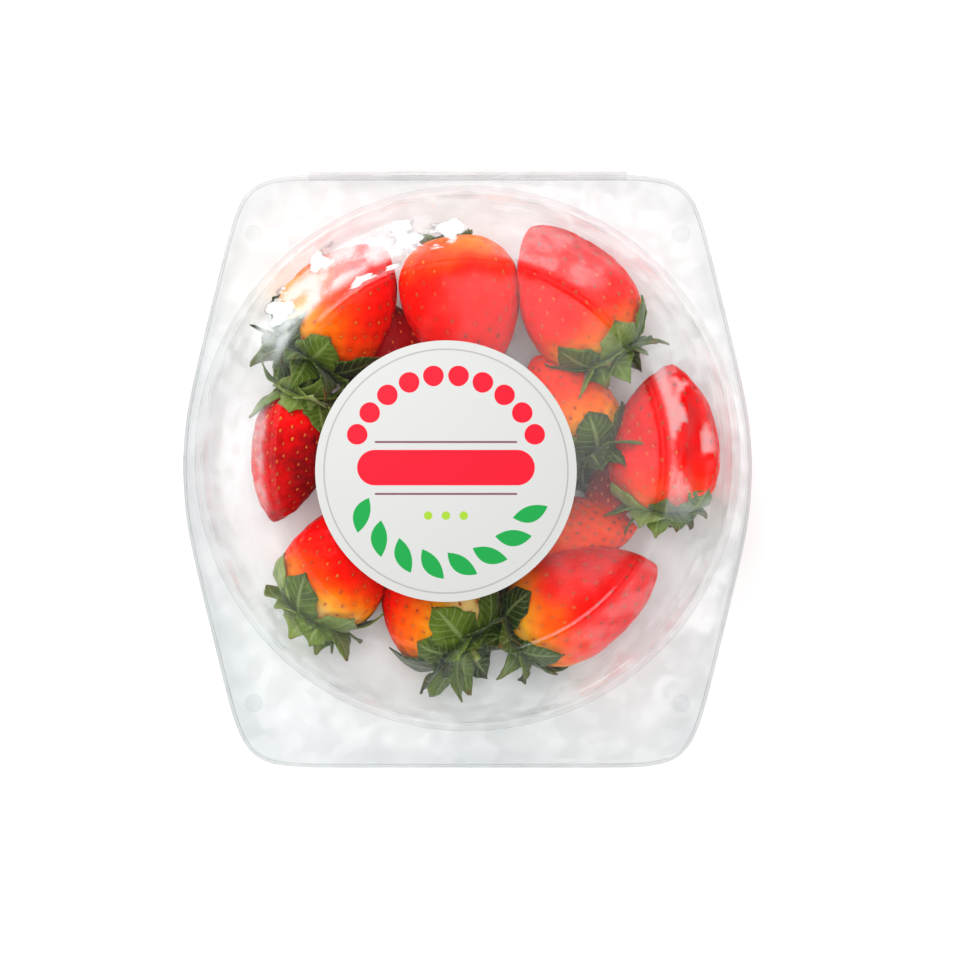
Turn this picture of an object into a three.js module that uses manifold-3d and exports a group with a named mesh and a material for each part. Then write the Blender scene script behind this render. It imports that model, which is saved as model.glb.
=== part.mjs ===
// A clear plastic punnet of strawberries with a hinged lid, lying on its base.
// Millimetres, +Z up. The origin is under the middle of the pack, on the surface that it rests on.
// The hinge is along the back, at +Y, and the label on the lid reads from the front, at -Y.
import * as THREE from "three";
import { mergeVertices } from "three/addons/utils/BufferGeometryUtils.js";
import Module from "manifold-3d";

const wasm = await Module();
wasm.setup();

// Outline of both flanges: a barrel, straight in front and behind, with sides that slope in
// towards the corners. The round bowl and dome stand nearer to its back edge than to its front.
const FRONT = 85.5;
const BACK = 83.9;
const SIDE = 81.5;
const SLOPE_REACH = 82.2;
const SLOPE = THREE.MathUtils.degToRad(13.8);
const CORNER_SHARPNESS = 16;
const SIDE_SHARPNESS = 60;
const CORNER_CROWDING = 0.6;
const AXIS_Y = 2.9;
const ROUND_STEPS = 72;

// The tray: a round fluted bowl in the flange. Radii are those of its upper side, from its own axis.
const WALL = 0.8;
const RIM = 78;
const LIP_WIDTH = 2.5;
const LIP_DROP = 3.4;
const NOMINAL_EDGE = RIM + LIP_WIDTH;
const TRAY_TOP = 33;
const FOOT_INNER = 56;
const FOOT_OUTER = 63;
const FOOT_CHAMFER = 4;
const BASE_RISE = 2.2;
const HEEL_WIDTH = 4.4;
const HEEL_RISE = 3.4;
const BOWL = 75;
const BOWL_TOP = TRAY_TOP - 7.5;
const LEDGE_INNER = 75.6;
const LEDGE_OUTER = 76.8;
const LEDGE = TRAY_TOP - 4.6;
const FLUTES = 24;
const FLUTE_DEPTH = 1.1;
const HEEL_FLUTE_SHARE = 0.6;
const EASE = 0.7;
const HINGE_RELIEF = 0.4;

// The lid: a round dome over the berries, with a plug that drops into the tray's rim.
const LID_GAP = 0.3;
const LID_UNDER = TRAY_TOP + LID_GAP;
const LID_TOP = 48;
const PANEL = 57.5;
const PANEL_BEAD = 3;
const DOME_FOOT = 68.5;
const DOME_FOOT_RISE = 3.4;
const PLUG = 75.9;
const PLUG_TAPER = 1.8;
const PLUG_FLOOR = 30.6;
const EDGE_RISE = 0.9;
const STUD_RADIUS = 2.6;
const STUD_RISE = 1.4;
const STUD_SIDES = 10;
const STUD_OUT = 61;
const STUD_ALONG = 67;

// The living hinge: a thin rolled bead along the straight back edge.
const HINGE_RADIUS = 0.8;
const HINGE_LENGTH = 92;
const HINGE_Y = BACK + HINGE_RADIUS;
const HINGE_Z = TRAY_TOP + LID_GAP / 2;
const HINGE_SIDES = 8;
const WEB_WIDTH = 2.6;

// The paper label on the lid's panel.
const LABEL_RADIUS = 36.8;
const LABEL_THICKNESS = 0.3;
const LABEL_CENTRE = [-6, -0.8];
const LABEL_GAP = 0.15;
const LABEL_SIDES = 40;

// The berries: outlines of a plump, conical fruit with a leafy cap.
const BERRY_SIDES = 12;
const BARE_SIDES = 9;
const BERRY_RINGS = 6;
const SHOULDER = 0.3;
const CAP_FLATNESS = 0.72;
const TAPER = 1.9;
const TAPER_FALL = 0.7;
const TIP_CROWDING = 1.3;
const DISH = 0.03;
const OVAL = 0.035;
const LOBES = 0.02;
const CAP_SEPALS = 7;
const SEPAL_ROOT = 3.4;
const SEPAL_LENGTH = 16;
const SEPAL_HALF_WIDTH = 3.9;
const SEPAL_THICKNESS = 0.9;
const SEPAL_WAVE = 0.5;
const STALK_RADIUS = 1.3;
const STALK_LENGTH = 7;
const STALK_SUNK = 2;
const CORE_RADIUS = 34;
const CORE_HALF_HEIGHT = 8;
const CORE_CENTRE = [-2, 2];
const ROOM_GAP = 0.4;
const HEAP_TOP = 40.8;

// Each berry: middle of the fruit, where its tip points in plan and up or down, both in degrees,
// its length and its greatest width, and how large its leaves are against the usual ones.
// A bare berry, hidden under the label or others, has no leaves.
const BERRIES = [
  { at: [-35.5, 48.3, 20.5], heading: 55, pitch: -6, length: 39, width: 33, leaf: 1.3 },
  { at: [-1.5, 44.5, 22], heading: -80, pitch: 8, length: 43, width: 36, leaf: 0.55 },
  { at: [29.3, 51.5, 21], heading: 121, pitch: 4, length: 43, width: 33.5, leaf: 1.25 },
  { at: [57.6, 9.5, 21.5], heading: 86, pitch: 6, length: 41.5, width: 33, leaf: 1.05 },
  { at: [27.6, 18.5, 17.5], heading: 119, pitch: -8, length: 33, width: 29, leaf: 1.4 },
  { at: [32, -18.5, 14.5], heading: 4, pitch: 0, length: 35, width: 22, leaf: 0.8 },
  { at: [34.3, -37.3, 20.5], heading: 24, pitch: 6, length: 45, width: 34, leaf: 1.15 },
  { at: [-10.5, -37, 20], heading: 128, pitch: -18, length: 37, width: 33, leaf: 1.15 },
  { at: [-35.3, -25.4, 20.5], heading: 60, pitch: 8, length: 38, width: 32, leaf: 1.25 },
  { at: [-51.5, 2.7, 20.5], heading: -105, pitch: -8, length: 38, width: 24, leaf: 1.25 },
  { at: [-21, 31, 15], heading: 105, pitch: 0, length: 37, width: 30, bare: true },
  { at: [-23, 10, 25], heading: 160, pitch: -4, length: 38, width: 31, bare: true },
  { at: [7, -10, 25], heading: -28, pitch: 4, length: 40, width: 31, bare: true },
];

// Colours and finishes.
const clearPlastic = new THREE.MeshStandardMaterial({
  color: 0xf2f6f7, roughness: 0.08, metalness: 0, transparent: true, opacity: 0.3 });
const labelPaper = new THREE.MeshStandardMaterial({ color: 0xf6f4f1, roughness: 0.45, metalness: 0 });
const ripeFruit = new THREE.MeshStandardMaterial({ color: 0xd8261a, roughness: 0.35, metalness: 0 });

// Distance from the bowl's axis to the flange's edge in a direction, for a given back edge.
function edgeRadius(angle, back) {
  const x = Math.abs(Math.cos(angle));
  const y = Math.sin(angle);
  const reach = SLOPE_REACH - Math.sign(y) * AXIS_Y * Math.sin(SLOPE);
  const slope = (x * Math.cos(SLOPE) + Math.abs(y) * Math.sin(SLOPE)) / reach;
  const sides = Math.pow(
    Math.pow(x / SIDE, SIDE_SHARPNESS) + Math.pow(slope, SIDE_SHARPNESS), 1 / SIDE_SHARPNESS);
  const end = y > 0 ? y / (back - AXIS_Y) : -y / (FRONT + AXIS_Y);
  return Math.pow(
    Math.pow(sides, CORNER_SHARPNESS) + Math.pow(end, CORNER_SHARPNESS), -1 / CORNER_SHARPNESS);
}

// The direction of a point on the flange's edge: the same steps, crowded into the corners.
function edgeAngle(angle) {
  return angle + (CORNER_CROWDING * Math.sin(4 * angle)) / 4;
}

// A closed solid from a geometry, with its shared corners merged and its flat triangles dropped.
function solidOf(geometry) {
  const loose = geometry.index ? geometry.toNonIndexed() : geometry;
  const bare = new THREE.BufferGeometry().setAttribute("position", loose.getAttribute("position"));
  const merged = mergeVertices(bare, 1e-4);
  const corners = merged.index.array;
  const kept = [];
  for (let i = 0; i < corners.length; i += 3) {
    const [a, b, c] = corners.slice(i, i + 3);
    if (a !== b && b !== c && c !== a) kept.push(a, b, c);
  }
  return new wasm.Manifold(new wasm.Mesh({
    numProp: 3,
    vertProperties: new Float32Array(merged.getAttribute("position").array),
    triVerts: new Uint32Array(kept),
  }));
}

// The geometry of a closed solid.
function geometryOf(solid) {
  const made = solid.getMesh();
  const places = new Float32Array(made.numVert * 3);
  for (let i = 0; i < made.numVert; i++) {
    places.set(made.vertProperties.subarray(i * made.numProp, i * made.numProp + 3), i * 3);
  }
  const geometry = new THREE.BufferGeometry().setAttribute(
    "position", new THREE.BufferAttribute(places, 3));
  geometry.setIndex(new THREE.BufferAttribute(new Uint32Array(made.triVerts), 1));
  geometry.computeVertexNormals();
  return geometry;
}

// The same line moved by a wall's thickness to its lower side. It starts on the axis, and each
// corner moves so that both of its stretches keep the full thickness.
function thickened(line, thickness) {
  const points = line.map((point) => new THREE.Vector2(point.r, point.z));
  const away = points.slice(1).map((point, i) => {
    const along = point.clone().sub(points[i]).normalize();
    return new THREE.Vector2(along.y, -along.x);
  });
  return points.map((point, i) => {
    const before = away[Math.max(i - 1, 0)];
    const after = away[Math.min(i, away.length - 1)];
    const middle = before.clone().add(after).normalize();
    const moved = point.addScaledVector(middle, thickness / middle.dot(before));
    return { r: i === 0 ? 0 : moved.x, z: moved.y, flute: line[i].flute };
  });
}

// A thin shell turned from a line on its upper side. Past the rim the circle becomes the flange's
// outline, and marked points wave in and out as flutes.
function turnedShell(line, back) {
  const profile = [...thickened(line, WALL), ...[...line].reverse()];
  const geometry = new THREE.LatheGeometry(
    profile.map((point) => new THREE.Vector2(point.r, point.z)), ROUND_STEPS);
  geometry.rotateX(Math.PI / 2);
  const place = geometry.getAttribute("position");
  for (let i = 0; i < place.count; i++) {
    const point = profile[i % profile.length];
    if (point.r === 0) continue;
    let angle = Math.atan2(place.getY(i), place.getX(i));
    let r = point.r;
    if (r > RIM + WALL) {
      angle = edgeAngle(angle);
      r += edgeRadius(angle, back) - NOMINAL_EDGE;
    }
    if (point.flute) r += FLUTE_DEPTH * point.flute * Math.cos(FLUTES * angle);
    place.setX(i, r * Math.cos(angle));
    place.setY(i, r * Math.sin(angle));
  }
  geometry.translate(0, AXIS_Y, 0);
  return solidOf(geometry);
}

// The tray's line, from the middle of its base out to the lip that turns down.
function trayLine() {
  return [
    { r: 0, z: WALL + BASE_RISE },
    { r: FOOT_INNER - FOOT_CHAMFER, z: WALL + BASE_RISE },
    { r: FOOT_INNER, z: WALL },
    { r: FOOT_OUTER, z: WALL },
    { r: FOOT_OUTER + HEEL_WIDTH, z: WALL + HEEL_RISE, flute: HEEL_FLUTE_SHARE },
    { r: BOWL, z: BOWL_TOP, flute: 1 },
    { r: LEDGE_INNER, z: LEDGE },
    { r: LEDGE_OUTER, z: LEDGE + 1 },
    { r: RIM - EASE, z: TRAY_TOP },
    { r: NOMINAL_EDGE - EASE, z: TRAY_TOP },
    { r: NOMINAL_EDGE, z: TRAY_TOP - EASE },
    { r: NOMINAL_EDGE, z: TRAY_TOP - LIP_DROP },
  ];
}

// The lid's line, from the middle of its panel over the dome and plug to the raised edge.
function lidLine() {
  const top = LID_UNDER + WALL;
  return [
    { r: 0, z: LID_TOP },
    { r: PANEL - PANEL_BEAD, z: LID_TOP },
    { r: PANEL - PANEL_BEAD / 2, z: LID_TOP + EASE },
    { r: PANEL, z: LID_TOP },
    { r: DOME_FOOT, z: PLUG_FLOOR + DOME_FOOT_RISE },
    { r: DOME_FOOT + PLUG_TAPER, z: PLUG_FLOOR + WALL },
    { r: PLUG - PLUG_TAPER, z: PLUG_FLOOR + WALL },
    { r: PLUG - WALL, z: top },
    { r: NOMINAL_EDGE - 2 * WALL, z: top },
    { r: NOMINAL_EDGE - WALL, z: top + EDGE_RISE },
  ];
}

// A short round bar along X.
function crossBar(radius, length, y, z) {
  const bar = new THREE.CylinderGeometry(radius, radius, length, HINGE_SIDES);
  bar.rotateZ(Math.PI / 2);
  bar.translate(0, y, z);
  return solidOf(bar);
}

// A low round boss with its foot in the lid's flange, for the press stud at one corner.
function stud(x, y) {
  const height = STUD_RISE + WALL / 2;
  const boss = new THREE.CylinderGeometry(STUD_RADIUS - WALL / 2, STUD_RADIUS, height, STUD_SIDES);
  boss.rotateX(Math.PI / 2);
  boss.translate(x, y, LID_UNDER + WALL / 2 + height / 2);
  return solidOf(boss);
}

function makeTray() {
  return turnedShell(trayLine(), BACK - HINGE_RELIEF);
}

function makeLid() {
  let lid = turnedShell(lidLine(), BACK);
  const web = new THREE.BoxGeometry(HINGE_LENGTH, WEB_WIDTH, WALL);
  web.translate(0, HINGE_Y - WEB_WIDTH / 2, LID_UNDER + WALL / 2);
  lid = lid.add(solidOf(web)).add(crossBar(HINGE_RADIUS, HINGE_LENGTH, HINGE_Y, HINGE_Z));
  for (const side of [-1, 1]) {
    for (const end of [-1, 1]) {
      lid = lid.add(stud(side * STUD_OUT, end * STUD_ALONG));
    }
  }
  return lid;
}

function makeLabel() {
  const disc = new THREE.CylinderGeometry(LABEL_RADIUS, LABEL_RADIUS, LABEL_THICKNESS, LABEL_SIDES);
  disc.rotateX(Math.PI / 2);
  disc.translate(...LABEL_CENTRE, LID_TOP + LABEL_GAP + LABEL_THICKNESS / 2);
  return disc;
}

// Radius of a berry at a share of its length from the cap to the tip, as a share of the greatest.
function berryRadius(share) {
  if (share < SHOULDER) {
    const back = (SHOULDER - share) / SHOULDER;
    return Math.sqrt(1 - CAP_FLATNESS * back * back);
  }
  const on = (share - SHOULDER) / (1 - SHOULDER);
  return Math.pow(1 - Math.pow(on, TAPER), TAPER_FALL);
}

// The fruit, standing on its cap end with its tip up +Y, about its middle.
function fruit(length, width, sides, turn) {
  const line = [new THREE.Vector2(0, length * DISH)];
  for (let i = 0; i <= BERRY_RINGS; i++) {
    const share = 1 - (1 - i / BERRY_RINGS) ** TIP_CROWDING;
    line.push(new THREE.Vector2(Math.max(width / 2 * berryRadius(share), 0), share * length));
  }
  line[line.length - 1].x = 0;
  const body = new THREE.LatheGeometry(line, sides);
  const place = body.getAttribute("position");
  for (let i = 0; i < place.count; i++) {
    const angle = Math.atan2(place.getZ(i), place.getX(i));
    const swell = 1 + OVAL * Math.cos(2 * angle + turn) + LOBES * Math.cos(3 * angle - turn);
    place.setX(i, place.getX(i) * swell);
    place.setZ(i, place.getZ(i) * swell);
    place.setY(i, place.getY(i) - length / 2);
  }
  return solidOf(body);
}

// One sepal of the cap: a thin, wavy, pointed leaf that leaves the axis and curls back.
function sepal(length, halfWidth, around, curl) {
  const leaf = new THREE.BoxGeometry(1, 2, SEPAL_THICKNESS, 3, 1, 1);
  const place = leaf.getAttribute("position");
  for (let i = 0; i < place.count; i++) {
    const along = place.getX(i) + 0.5;
    const across = place.getY(i);
    const half = halfWidth * Math.max(Math.sin(Math.PI * (0.16 + 0.84 * along ** 0.9)), 0.08);
    const out = SEPAL_ROOT + (length - SEPAL_ROOT) * along;
    const lift = curl * length * along * along + SEPAL_WAVE * Math.sin(5 * along);
    place.setXYZ(i, out, across * half, place.getZ(i) - lift);
  }
  leaf.rotateX(-Math.PI / 2);
  leaf.rotateY(around);
  return solidOf(leaf);
}

// A berry with its cap and stalk, in its own frame: the tip is up +Y.
function berry({ length, width, leaf, bare }, number) {
  const parts = [fruit(length, width, bare ? BARE_SIDES : BERRY_SIDES, number)];
  if (bare) return parts[0];
  const stalk = new THREE.CylinderGeometry(STALK_RADIUS * 0.8, STALK_RADIUS, STALK_LENGTH, 5);
  stalk.translate(0, STALK_SUNK - length / 2 - STALK_LENGTH / 2, 0);
  parts.push(solidOf(stalk));
  for (let i = 0; i < CAP_SEPALS; i++) {
    const around = (i / CAP_SEPALS) * 2 * Math.PI + number;
    const reach = SEPAL_LENGTH * leaf * (0.86 + 0.14 * Math.cos(3 * i + number));
    const half = (SEPAL_HALF_WIDTH * (1 + leaf)) / 2;
    const curl = 0.16 + 0.3 * Math.sin(2.3 * i + number * 1.7) ** 2;
    parts.push(sepal(reach, half, around, curl).translate([0, (SEPAL_THICKNESS - length) / 2, 0]));
  }
  return wasm.Manifold.union(parts);
}

// The berry's solid turned to its heading and pitch and set down in its place.
function placed(solid, { at, heading, pitch }, number) {
  const frame = new THREE.Object3D();
  frame.rotation.order = "ZYX";
  frame.rotation.set(0, -THREE.MathUtils.degToRad(pitch), THREE.MathUtils.degToRad(heading));
  const aim = new THREE.Object3D();
  aim.rotation.set(number * 1.3, 0, -Math.PI / 2, "XYZ");
  frame.add(aim);
  frame.position.set(...at);
  frame.updateMatrixWorld(true);
  return solid.transform(aim.matrixWorld.toArray());
}

// The space that the berries may fill: inside the tray's wall, within the dome and below the panel.
function room() {
  const low = WALL + BASE_RISE + ROOM_GAP;
  const underPanel = LID_TOP - WALL - ROOM_GAP;
  const underPlug = PLUG_FLOOR - ROOM_GAP;
  const wide = BOWL - FLUTE_DEPTH - ROOM_GAP;
  const domeFoot = DOME_FOOT - WALL - 2 * ROOM_GAP;
  const domeTop = PANEL - WALL - 2 * ROOM_GAP;
  const up = (HEAP_TOP - underPlug) / (underPanel - underPlug);
  const inside = [
    [0, low],
    [FOOT_OUTER, low],
    [wide, BOWL_TOP],
    [wide, underPlug],
    [domeFoot, underPlug],
    [domeFoot + (domeTop - domeFoot) * up, HEAP_TOP],
    [0, HEAP_TOP],
  ].map(([r, z]) => new THREE.Vector2(r, z));
  const space = new THREE.LatheGeometry(inside, ROUND_STEPS);
  space.rotateX(Math.PI / 2);
  space.translate(0, AXIS_Y, 0);
  return solidOf(space);
}

// The outer skin of a solid alone, which fills its sealed hollows and drops its loose scraps.
function outerBody(solid) {
  const shells = solid.decompose();
  return shells.reduce((best, shell) => (shell.volume() > best.volume() ? shell : best));
}

// The heap: a low core, hidden in the middle, with every berry fused to it.
function makeStrawberries() {
  const core = new THREE.SphereGeometry(1, 12, 5);
  core.scale(CORE_RADIUS, CORE_HALF_HEIGHT, CORE_RADIUS);
  core.rotateX(Math.PI / 2);
  core.translate(...CORE_CENTRE, WALL + BASE_RISE + ROOM_GAP + CORE_HALF_HEIGHT);
  const parts = BERRIES.map((entry, i) => placed(berry(entry, i), entry, i));
  return outerBody(wasm.Manifold.union([solidOf(core), ...parts]).intersect(room()));
}

// The named piece of the object.
function piece(name, geometry, material) {
  const mesh = new THREE.Mesh(geometry, material);
  mesh.name = name;
  return mesh;
}

const punnet = new THREE.Group();
punnet.add(
  piece("tray", geometryOf(makeTray()), clearPlastic),
  piece("strawberries", geometryOf(makeStrawberries()), ripeFruit),
  piece("lid", geometryOf(makeLid()), clearPlastic),
  piece("label", makeLabel(), labelPaper),
);
export default punnet;
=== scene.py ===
"""Looks of a clear hinged punnet of strawberries that lies on its base with its lid closed.

The pieces are the tray, the lid with its hinge bead and press studs, the round paper label,
and the berries with their seeds, leaves and stalks. Sizes are in millimetres until a piece
is finished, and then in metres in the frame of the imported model.
"""

import logging
import math
import random
from bisect import bisect_left
from collections.abc import Callable, Iterable, Iterator, Sequence
from contextlib import contextmanager
from dataclasses import dataclass, field
from enum import Enum
from itertools import pairwise

import bmesh
import bpy
from mathutils import Matrix, Vector, kdtree, noise


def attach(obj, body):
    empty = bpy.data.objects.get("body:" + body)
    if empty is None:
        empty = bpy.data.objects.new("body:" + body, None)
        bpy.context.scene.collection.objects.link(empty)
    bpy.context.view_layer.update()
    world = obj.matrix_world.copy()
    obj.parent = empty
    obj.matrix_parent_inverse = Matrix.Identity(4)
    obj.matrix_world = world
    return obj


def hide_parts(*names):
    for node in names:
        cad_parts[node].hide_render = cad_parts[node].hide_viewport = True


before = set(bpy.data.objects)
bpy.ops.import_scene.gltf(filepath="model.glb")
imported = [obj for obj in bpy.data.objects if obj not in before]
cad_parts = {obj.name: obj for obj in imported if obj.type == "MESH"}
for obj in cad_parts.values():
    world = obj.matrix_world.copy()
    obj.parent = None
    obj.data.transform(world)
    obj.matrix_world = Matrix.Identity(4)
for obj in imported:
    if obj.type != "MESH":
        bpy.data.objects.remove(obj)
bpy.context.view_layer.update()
MM = 0.001
LOG = logging.getLogger("punnet")

# A shader socket takes a number, a colour, a value or a link.
Colour = tuple[float, float, float]
Input = "float | Colour | Value | bpy.types.NodeSocket"


class Slot(Enum):
    """The record's material slots."""

    FILM = "clear_plastic"
    PAPER = "label_paper"
    FRUIT = "strawberry"


class Body(Enum):
    """The bodies that pieces ride on."""

    TRAY = "tray"
    LID = "lid"


def colour(code: str) -> Colour:
    """Turns a colour code into linear red, green and blue.

    Args:
        code: six hexadecimal digits.

    Returns:
        The three linear shares, from 0 to 1.
    """
    shares = [int(code[i:i + 2], 16) / 255 for i in (0, 2, 4)]
    linear = [s / 12.92 if s <= 0.04045 else ((s + 0.055) / 1.055) ** 2.4 for s in shares]
    return linear[0], linear[1], linear[2]


def clamp(value: float, low: float = 0.0, high: float = 1.0) -> float:
    """Holds a value between two limits."""
    return max(low, min(high, value))


def smooth(value: float, low: float, high: float) -> float:
    """Eases from 0 at low to 1 at high.

    Args:
        value: the number to ease.
        low: where the result leaves 0.
        high: where the result reaches 1.

    Returns:
        A share from 0 to 1.
    """
    share = clamp((value - low) / (high - low))
    return share * share * (3 - 2 * share)


def ripple(place: Vector, size: float, seed: float = 0.0) -> float:
    """A soft random wave of a given size at a place, from -1 to 1."""
    return noise.noise(place / size + Vector((seed, seed * 1.7, seed * 0.3)))


def polar(r: float, angle: float, z: float) -> Vector:
    """A point at a radius, a direction and a height."""
    return Vector((r * math.cos(angle), r * math.sin(angle), z))


class Value:
    """A number's socket: an expression on it adds Math nodes to its recipe."""

    def __init__(self, recipe: "Recipe", socket: bpy.types.NodeSocket) -> None:
        """Keeps the socket and the recipe that it belongs to."""
        self.recipe = recipe
        self.socket = socket

    def maths(self, operation: str, *others: Input, first: bool = True) -> "Value":
        """Adds one Math node.

        Args:
            operation: the node's operation.
            others: its other inputs.
            first: whether this value is the first input or the second.

        Returns:
            The node's result.
        """
        inputs = [self, *others] if first else [*others, self]
        node = self.recipe.node("ShaderNodeMath", {"operation": operation}, dict(enumerate(inputs)))
        return Value(self.recipe, node.outputs[0])

    def __add__(self, other: Input) -> "Value":
        """Adds."""
        return self.maths("ADD", other)

    __radd__ = __add__

    def __sub__(self, other: Input) -> "Value":
        """Subtracts."""
        return self.maths("SUBTRACT", other)

    def __rsub__(self, other: Input) -> "Value":
        """Subtracts this value from a number."""
        return self.maths("SUBTRACT", other, first=False)

    def __mul__(self, other: Input) -> "Value":
        """Multiplies."""
        return self.maths("MULTIPLY", other)

    __rmul__ = __mul__

    def __truediv__(self, other: Input) -> "Value":
        """Divides."""
        return self.maths("DIVIDE", other)

    def __pow__(self, other: Input) -> "Value":
        """Raises to a power."""
        return self.maths("POWER", other)

    def __abs__(self) -> "Value":
        """Takes the value without its sign."""
        return self.maths("ABSOLUTE")

    def least(self, other: Input) -> "Value":
        """The smaller of two."""
        return self.maths("MINIMUM", other)

    def most(self, other: Input) -> "Value":
        """The larger of two."""
        return self.maths("MAXIMUM", other)

    def between(self, low: float, high: float) -> "Value":
        """Eases from 0 at low to 1 at high.

        Args:
            low: where the result leaves 0.
            high: where it reaches 1.

        Returns:
            The eased share.
        """
        node = self.recipe.node(
            "ShaderNodeMapRange", {"interpolation_type": "SMOOTHSTEP"},
            {"Value": self, "From Min": low, "From Max": high})
        return Value(self.recipe, node.outputs["Result"])

    def under(self, limit: float, edge: float) -> "Value":
        """A mask of 1 where the value is under a limit, with an edge of a given width."""
        return 1 - self.between(limit - edge / 2, limit + edge / 2)


class Recipe:
    """One material's nodes, from its coordinates to its surface."""

    def __init__(self, name: str) -> None:
        """Starts an empty material.

        Args:
            name: the material's name.
        """
        self.material = bpy.data.materials.new(name)
        self.material.use_nodes = True
        self.tree = self.material.node_tree
        self.tree.nodes.clear()
        self.place = self.node("ShaderNodeTexCoord").outputs["Object"]

    def node(
        self, kind: str, settings: dict | None = None, inputs: dict | None = None
    ) -> bpy.types.Node:
        """Adds a node of any type.

        Args:
            kind: the node's type.
            settings: what is set on the node itself, with a ramp's stops under "stops".
            inputs: the values or links of its sockets, by name or number.

        Returns:
            The node.
        """
        made = self.tree.nodes.new(kind)
        for name, setting in (settings or {}).items():
            if name == "stops":
                self.set_stops(made.color_ramp, setting)
            else:
                setattr(made, name, setting)
        for name, value in (inputs or {}).items():
            socket = made.inputs[name]
            if isinstance(value, Value):
                value = value.socket
            if isinstance(value, bpy.types.NodeSocket):
                self.tree.links.new(value, socket)
            elif isinstance(value, tuple) and len(value) == 3 and socket.type == "RGBA":
                socket.default_value = (*value, 1.0)
            else:
                socket.default_value = value
        return made

    @staticmethod
    def set_stops(ramp: bpy.types.ColorRamp, stops: Sequence[tuple[float, Colour]]) -> None:
        """Gives a ramp its stops.

        Args:
            ramp: the ramp, with its two first elements.
            stops: places from 0 to 1 and their colours.
        """
        while len(ramp.elements) < len(stops):
            ramp.elements.new(1.0)
        for element, (position, shade) in zip(ramp.elements, stops, strict=True):
            element.position = position
            element.color = (*shade, 1.0)

    def attribute(self, name: str) -> Value:
        """A number that the mesh carries at its points."""
        return Value(self, self.node("ShaderNodeAttribute", {"attribute_name": name}).outputs["Fac"])

    def grain(self, size: float, detail: float = 2.0, stretch: Colour = (1, 1, 1)) -> Value:
        """Random clouds in the piece's own space.

        Args:
            size: the clouds' size in millimetres.
            detail: how many finer layers they have.
            stretch: how much denser they are along each axis.

        Returns:
            A share about 0.5.
        """
        moved = self.node("ShaderNodeMapping", None, {"Vector": self.place, "Scale": stretch})
        clouds = self.node("ShaderNodeTexNoise", None, {
            "Vector": moved.outputs[0], "Scale": 1 / (size * MM), "Detail": detail})
        return Value(self, clouds.outputs["Fac"])

    def axes(self, source: bpy.types.NodeSocket) -> tuple[Value, Value, Value]:
        """A vector's three numbers."""
        parts = self.node("ShaderNodeSeparateXYZ", None, {0: source}).outputs
        return Value(self, parts[0]), Value(self, parts[1]), Value(self, parts[2])

    def ramp(self, share: Value, stops: Sequence[tuple[float, Colour]]) -> bpy.types.NodeSocket:
        """A colour picked along a ramp."""
        made = self.node("ShaderNodeValToRGB", {"stops": stops}, {"Fac": share})
        return made.outputs["Color"]

    def blend(self, share: Input, first: Input, second: Input,
              how: str = "MIX") -> bpy.types.NodeSocket:
        """Mixes two colours.

        Args:
            share: how much of the second.
            first: a colour or its socket.
            second: a colour or its socket.
            how: the way of mixing.

        Returns:
            The mixed colour's socket.
        """
        made = self.node("ShaderNodeMix", {"data_type": "RGBA", "blend_type": how},
                         {0: share, 6: first, 7: second})
        return made.outputs[2]

    def relief(self, height: Value, depth: float, strength: float = 1.0) -> bpy.types.NodeSocket:
        """A bumped normal.

        Args:
            height: the relief's height, from 0 to 1.
            depth: its full depth in millimetres.
            strength: how much of it shows.

        Returns:
            The normal's socket.
        """
        made = self.node("ShaderNodeBump", None, {
            "Height": height, "Distance": depth * MM, "Strength": strength})
        return made.outputs["Normal"]

    def surface(self, kind: str = "ShaderNodeBsdfPrincipled", **inputs: Input) -> bpy.types.NodeSocket:
        """Adds a shader, whose sockets are named with underscores for spaces."""
        named = {name.replace("_", " "): value for name, value in inputs.items()}
        return self.node(kind, None, named).outputs[0]

    def layered(self, share: Input, first: bpy.types.NodeSocket,
                second: bpy.types.NodeSocket) -> bpy.types.NodeSocket:
        """Mixes two shaders by a share of the second."""
        return self.node("ShaderNodeMixShader", None, {0: share, 1: first, 2: second}).outputs[0]

    def done(self, shader: bpy.types.NodeSocket) -> bpy.types.Material:
        """Links the surface and gives the finished material."""
        self.node("ShaderNodeOutputMaterial", None, {"Surface": shader})
        return self.material


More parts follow.
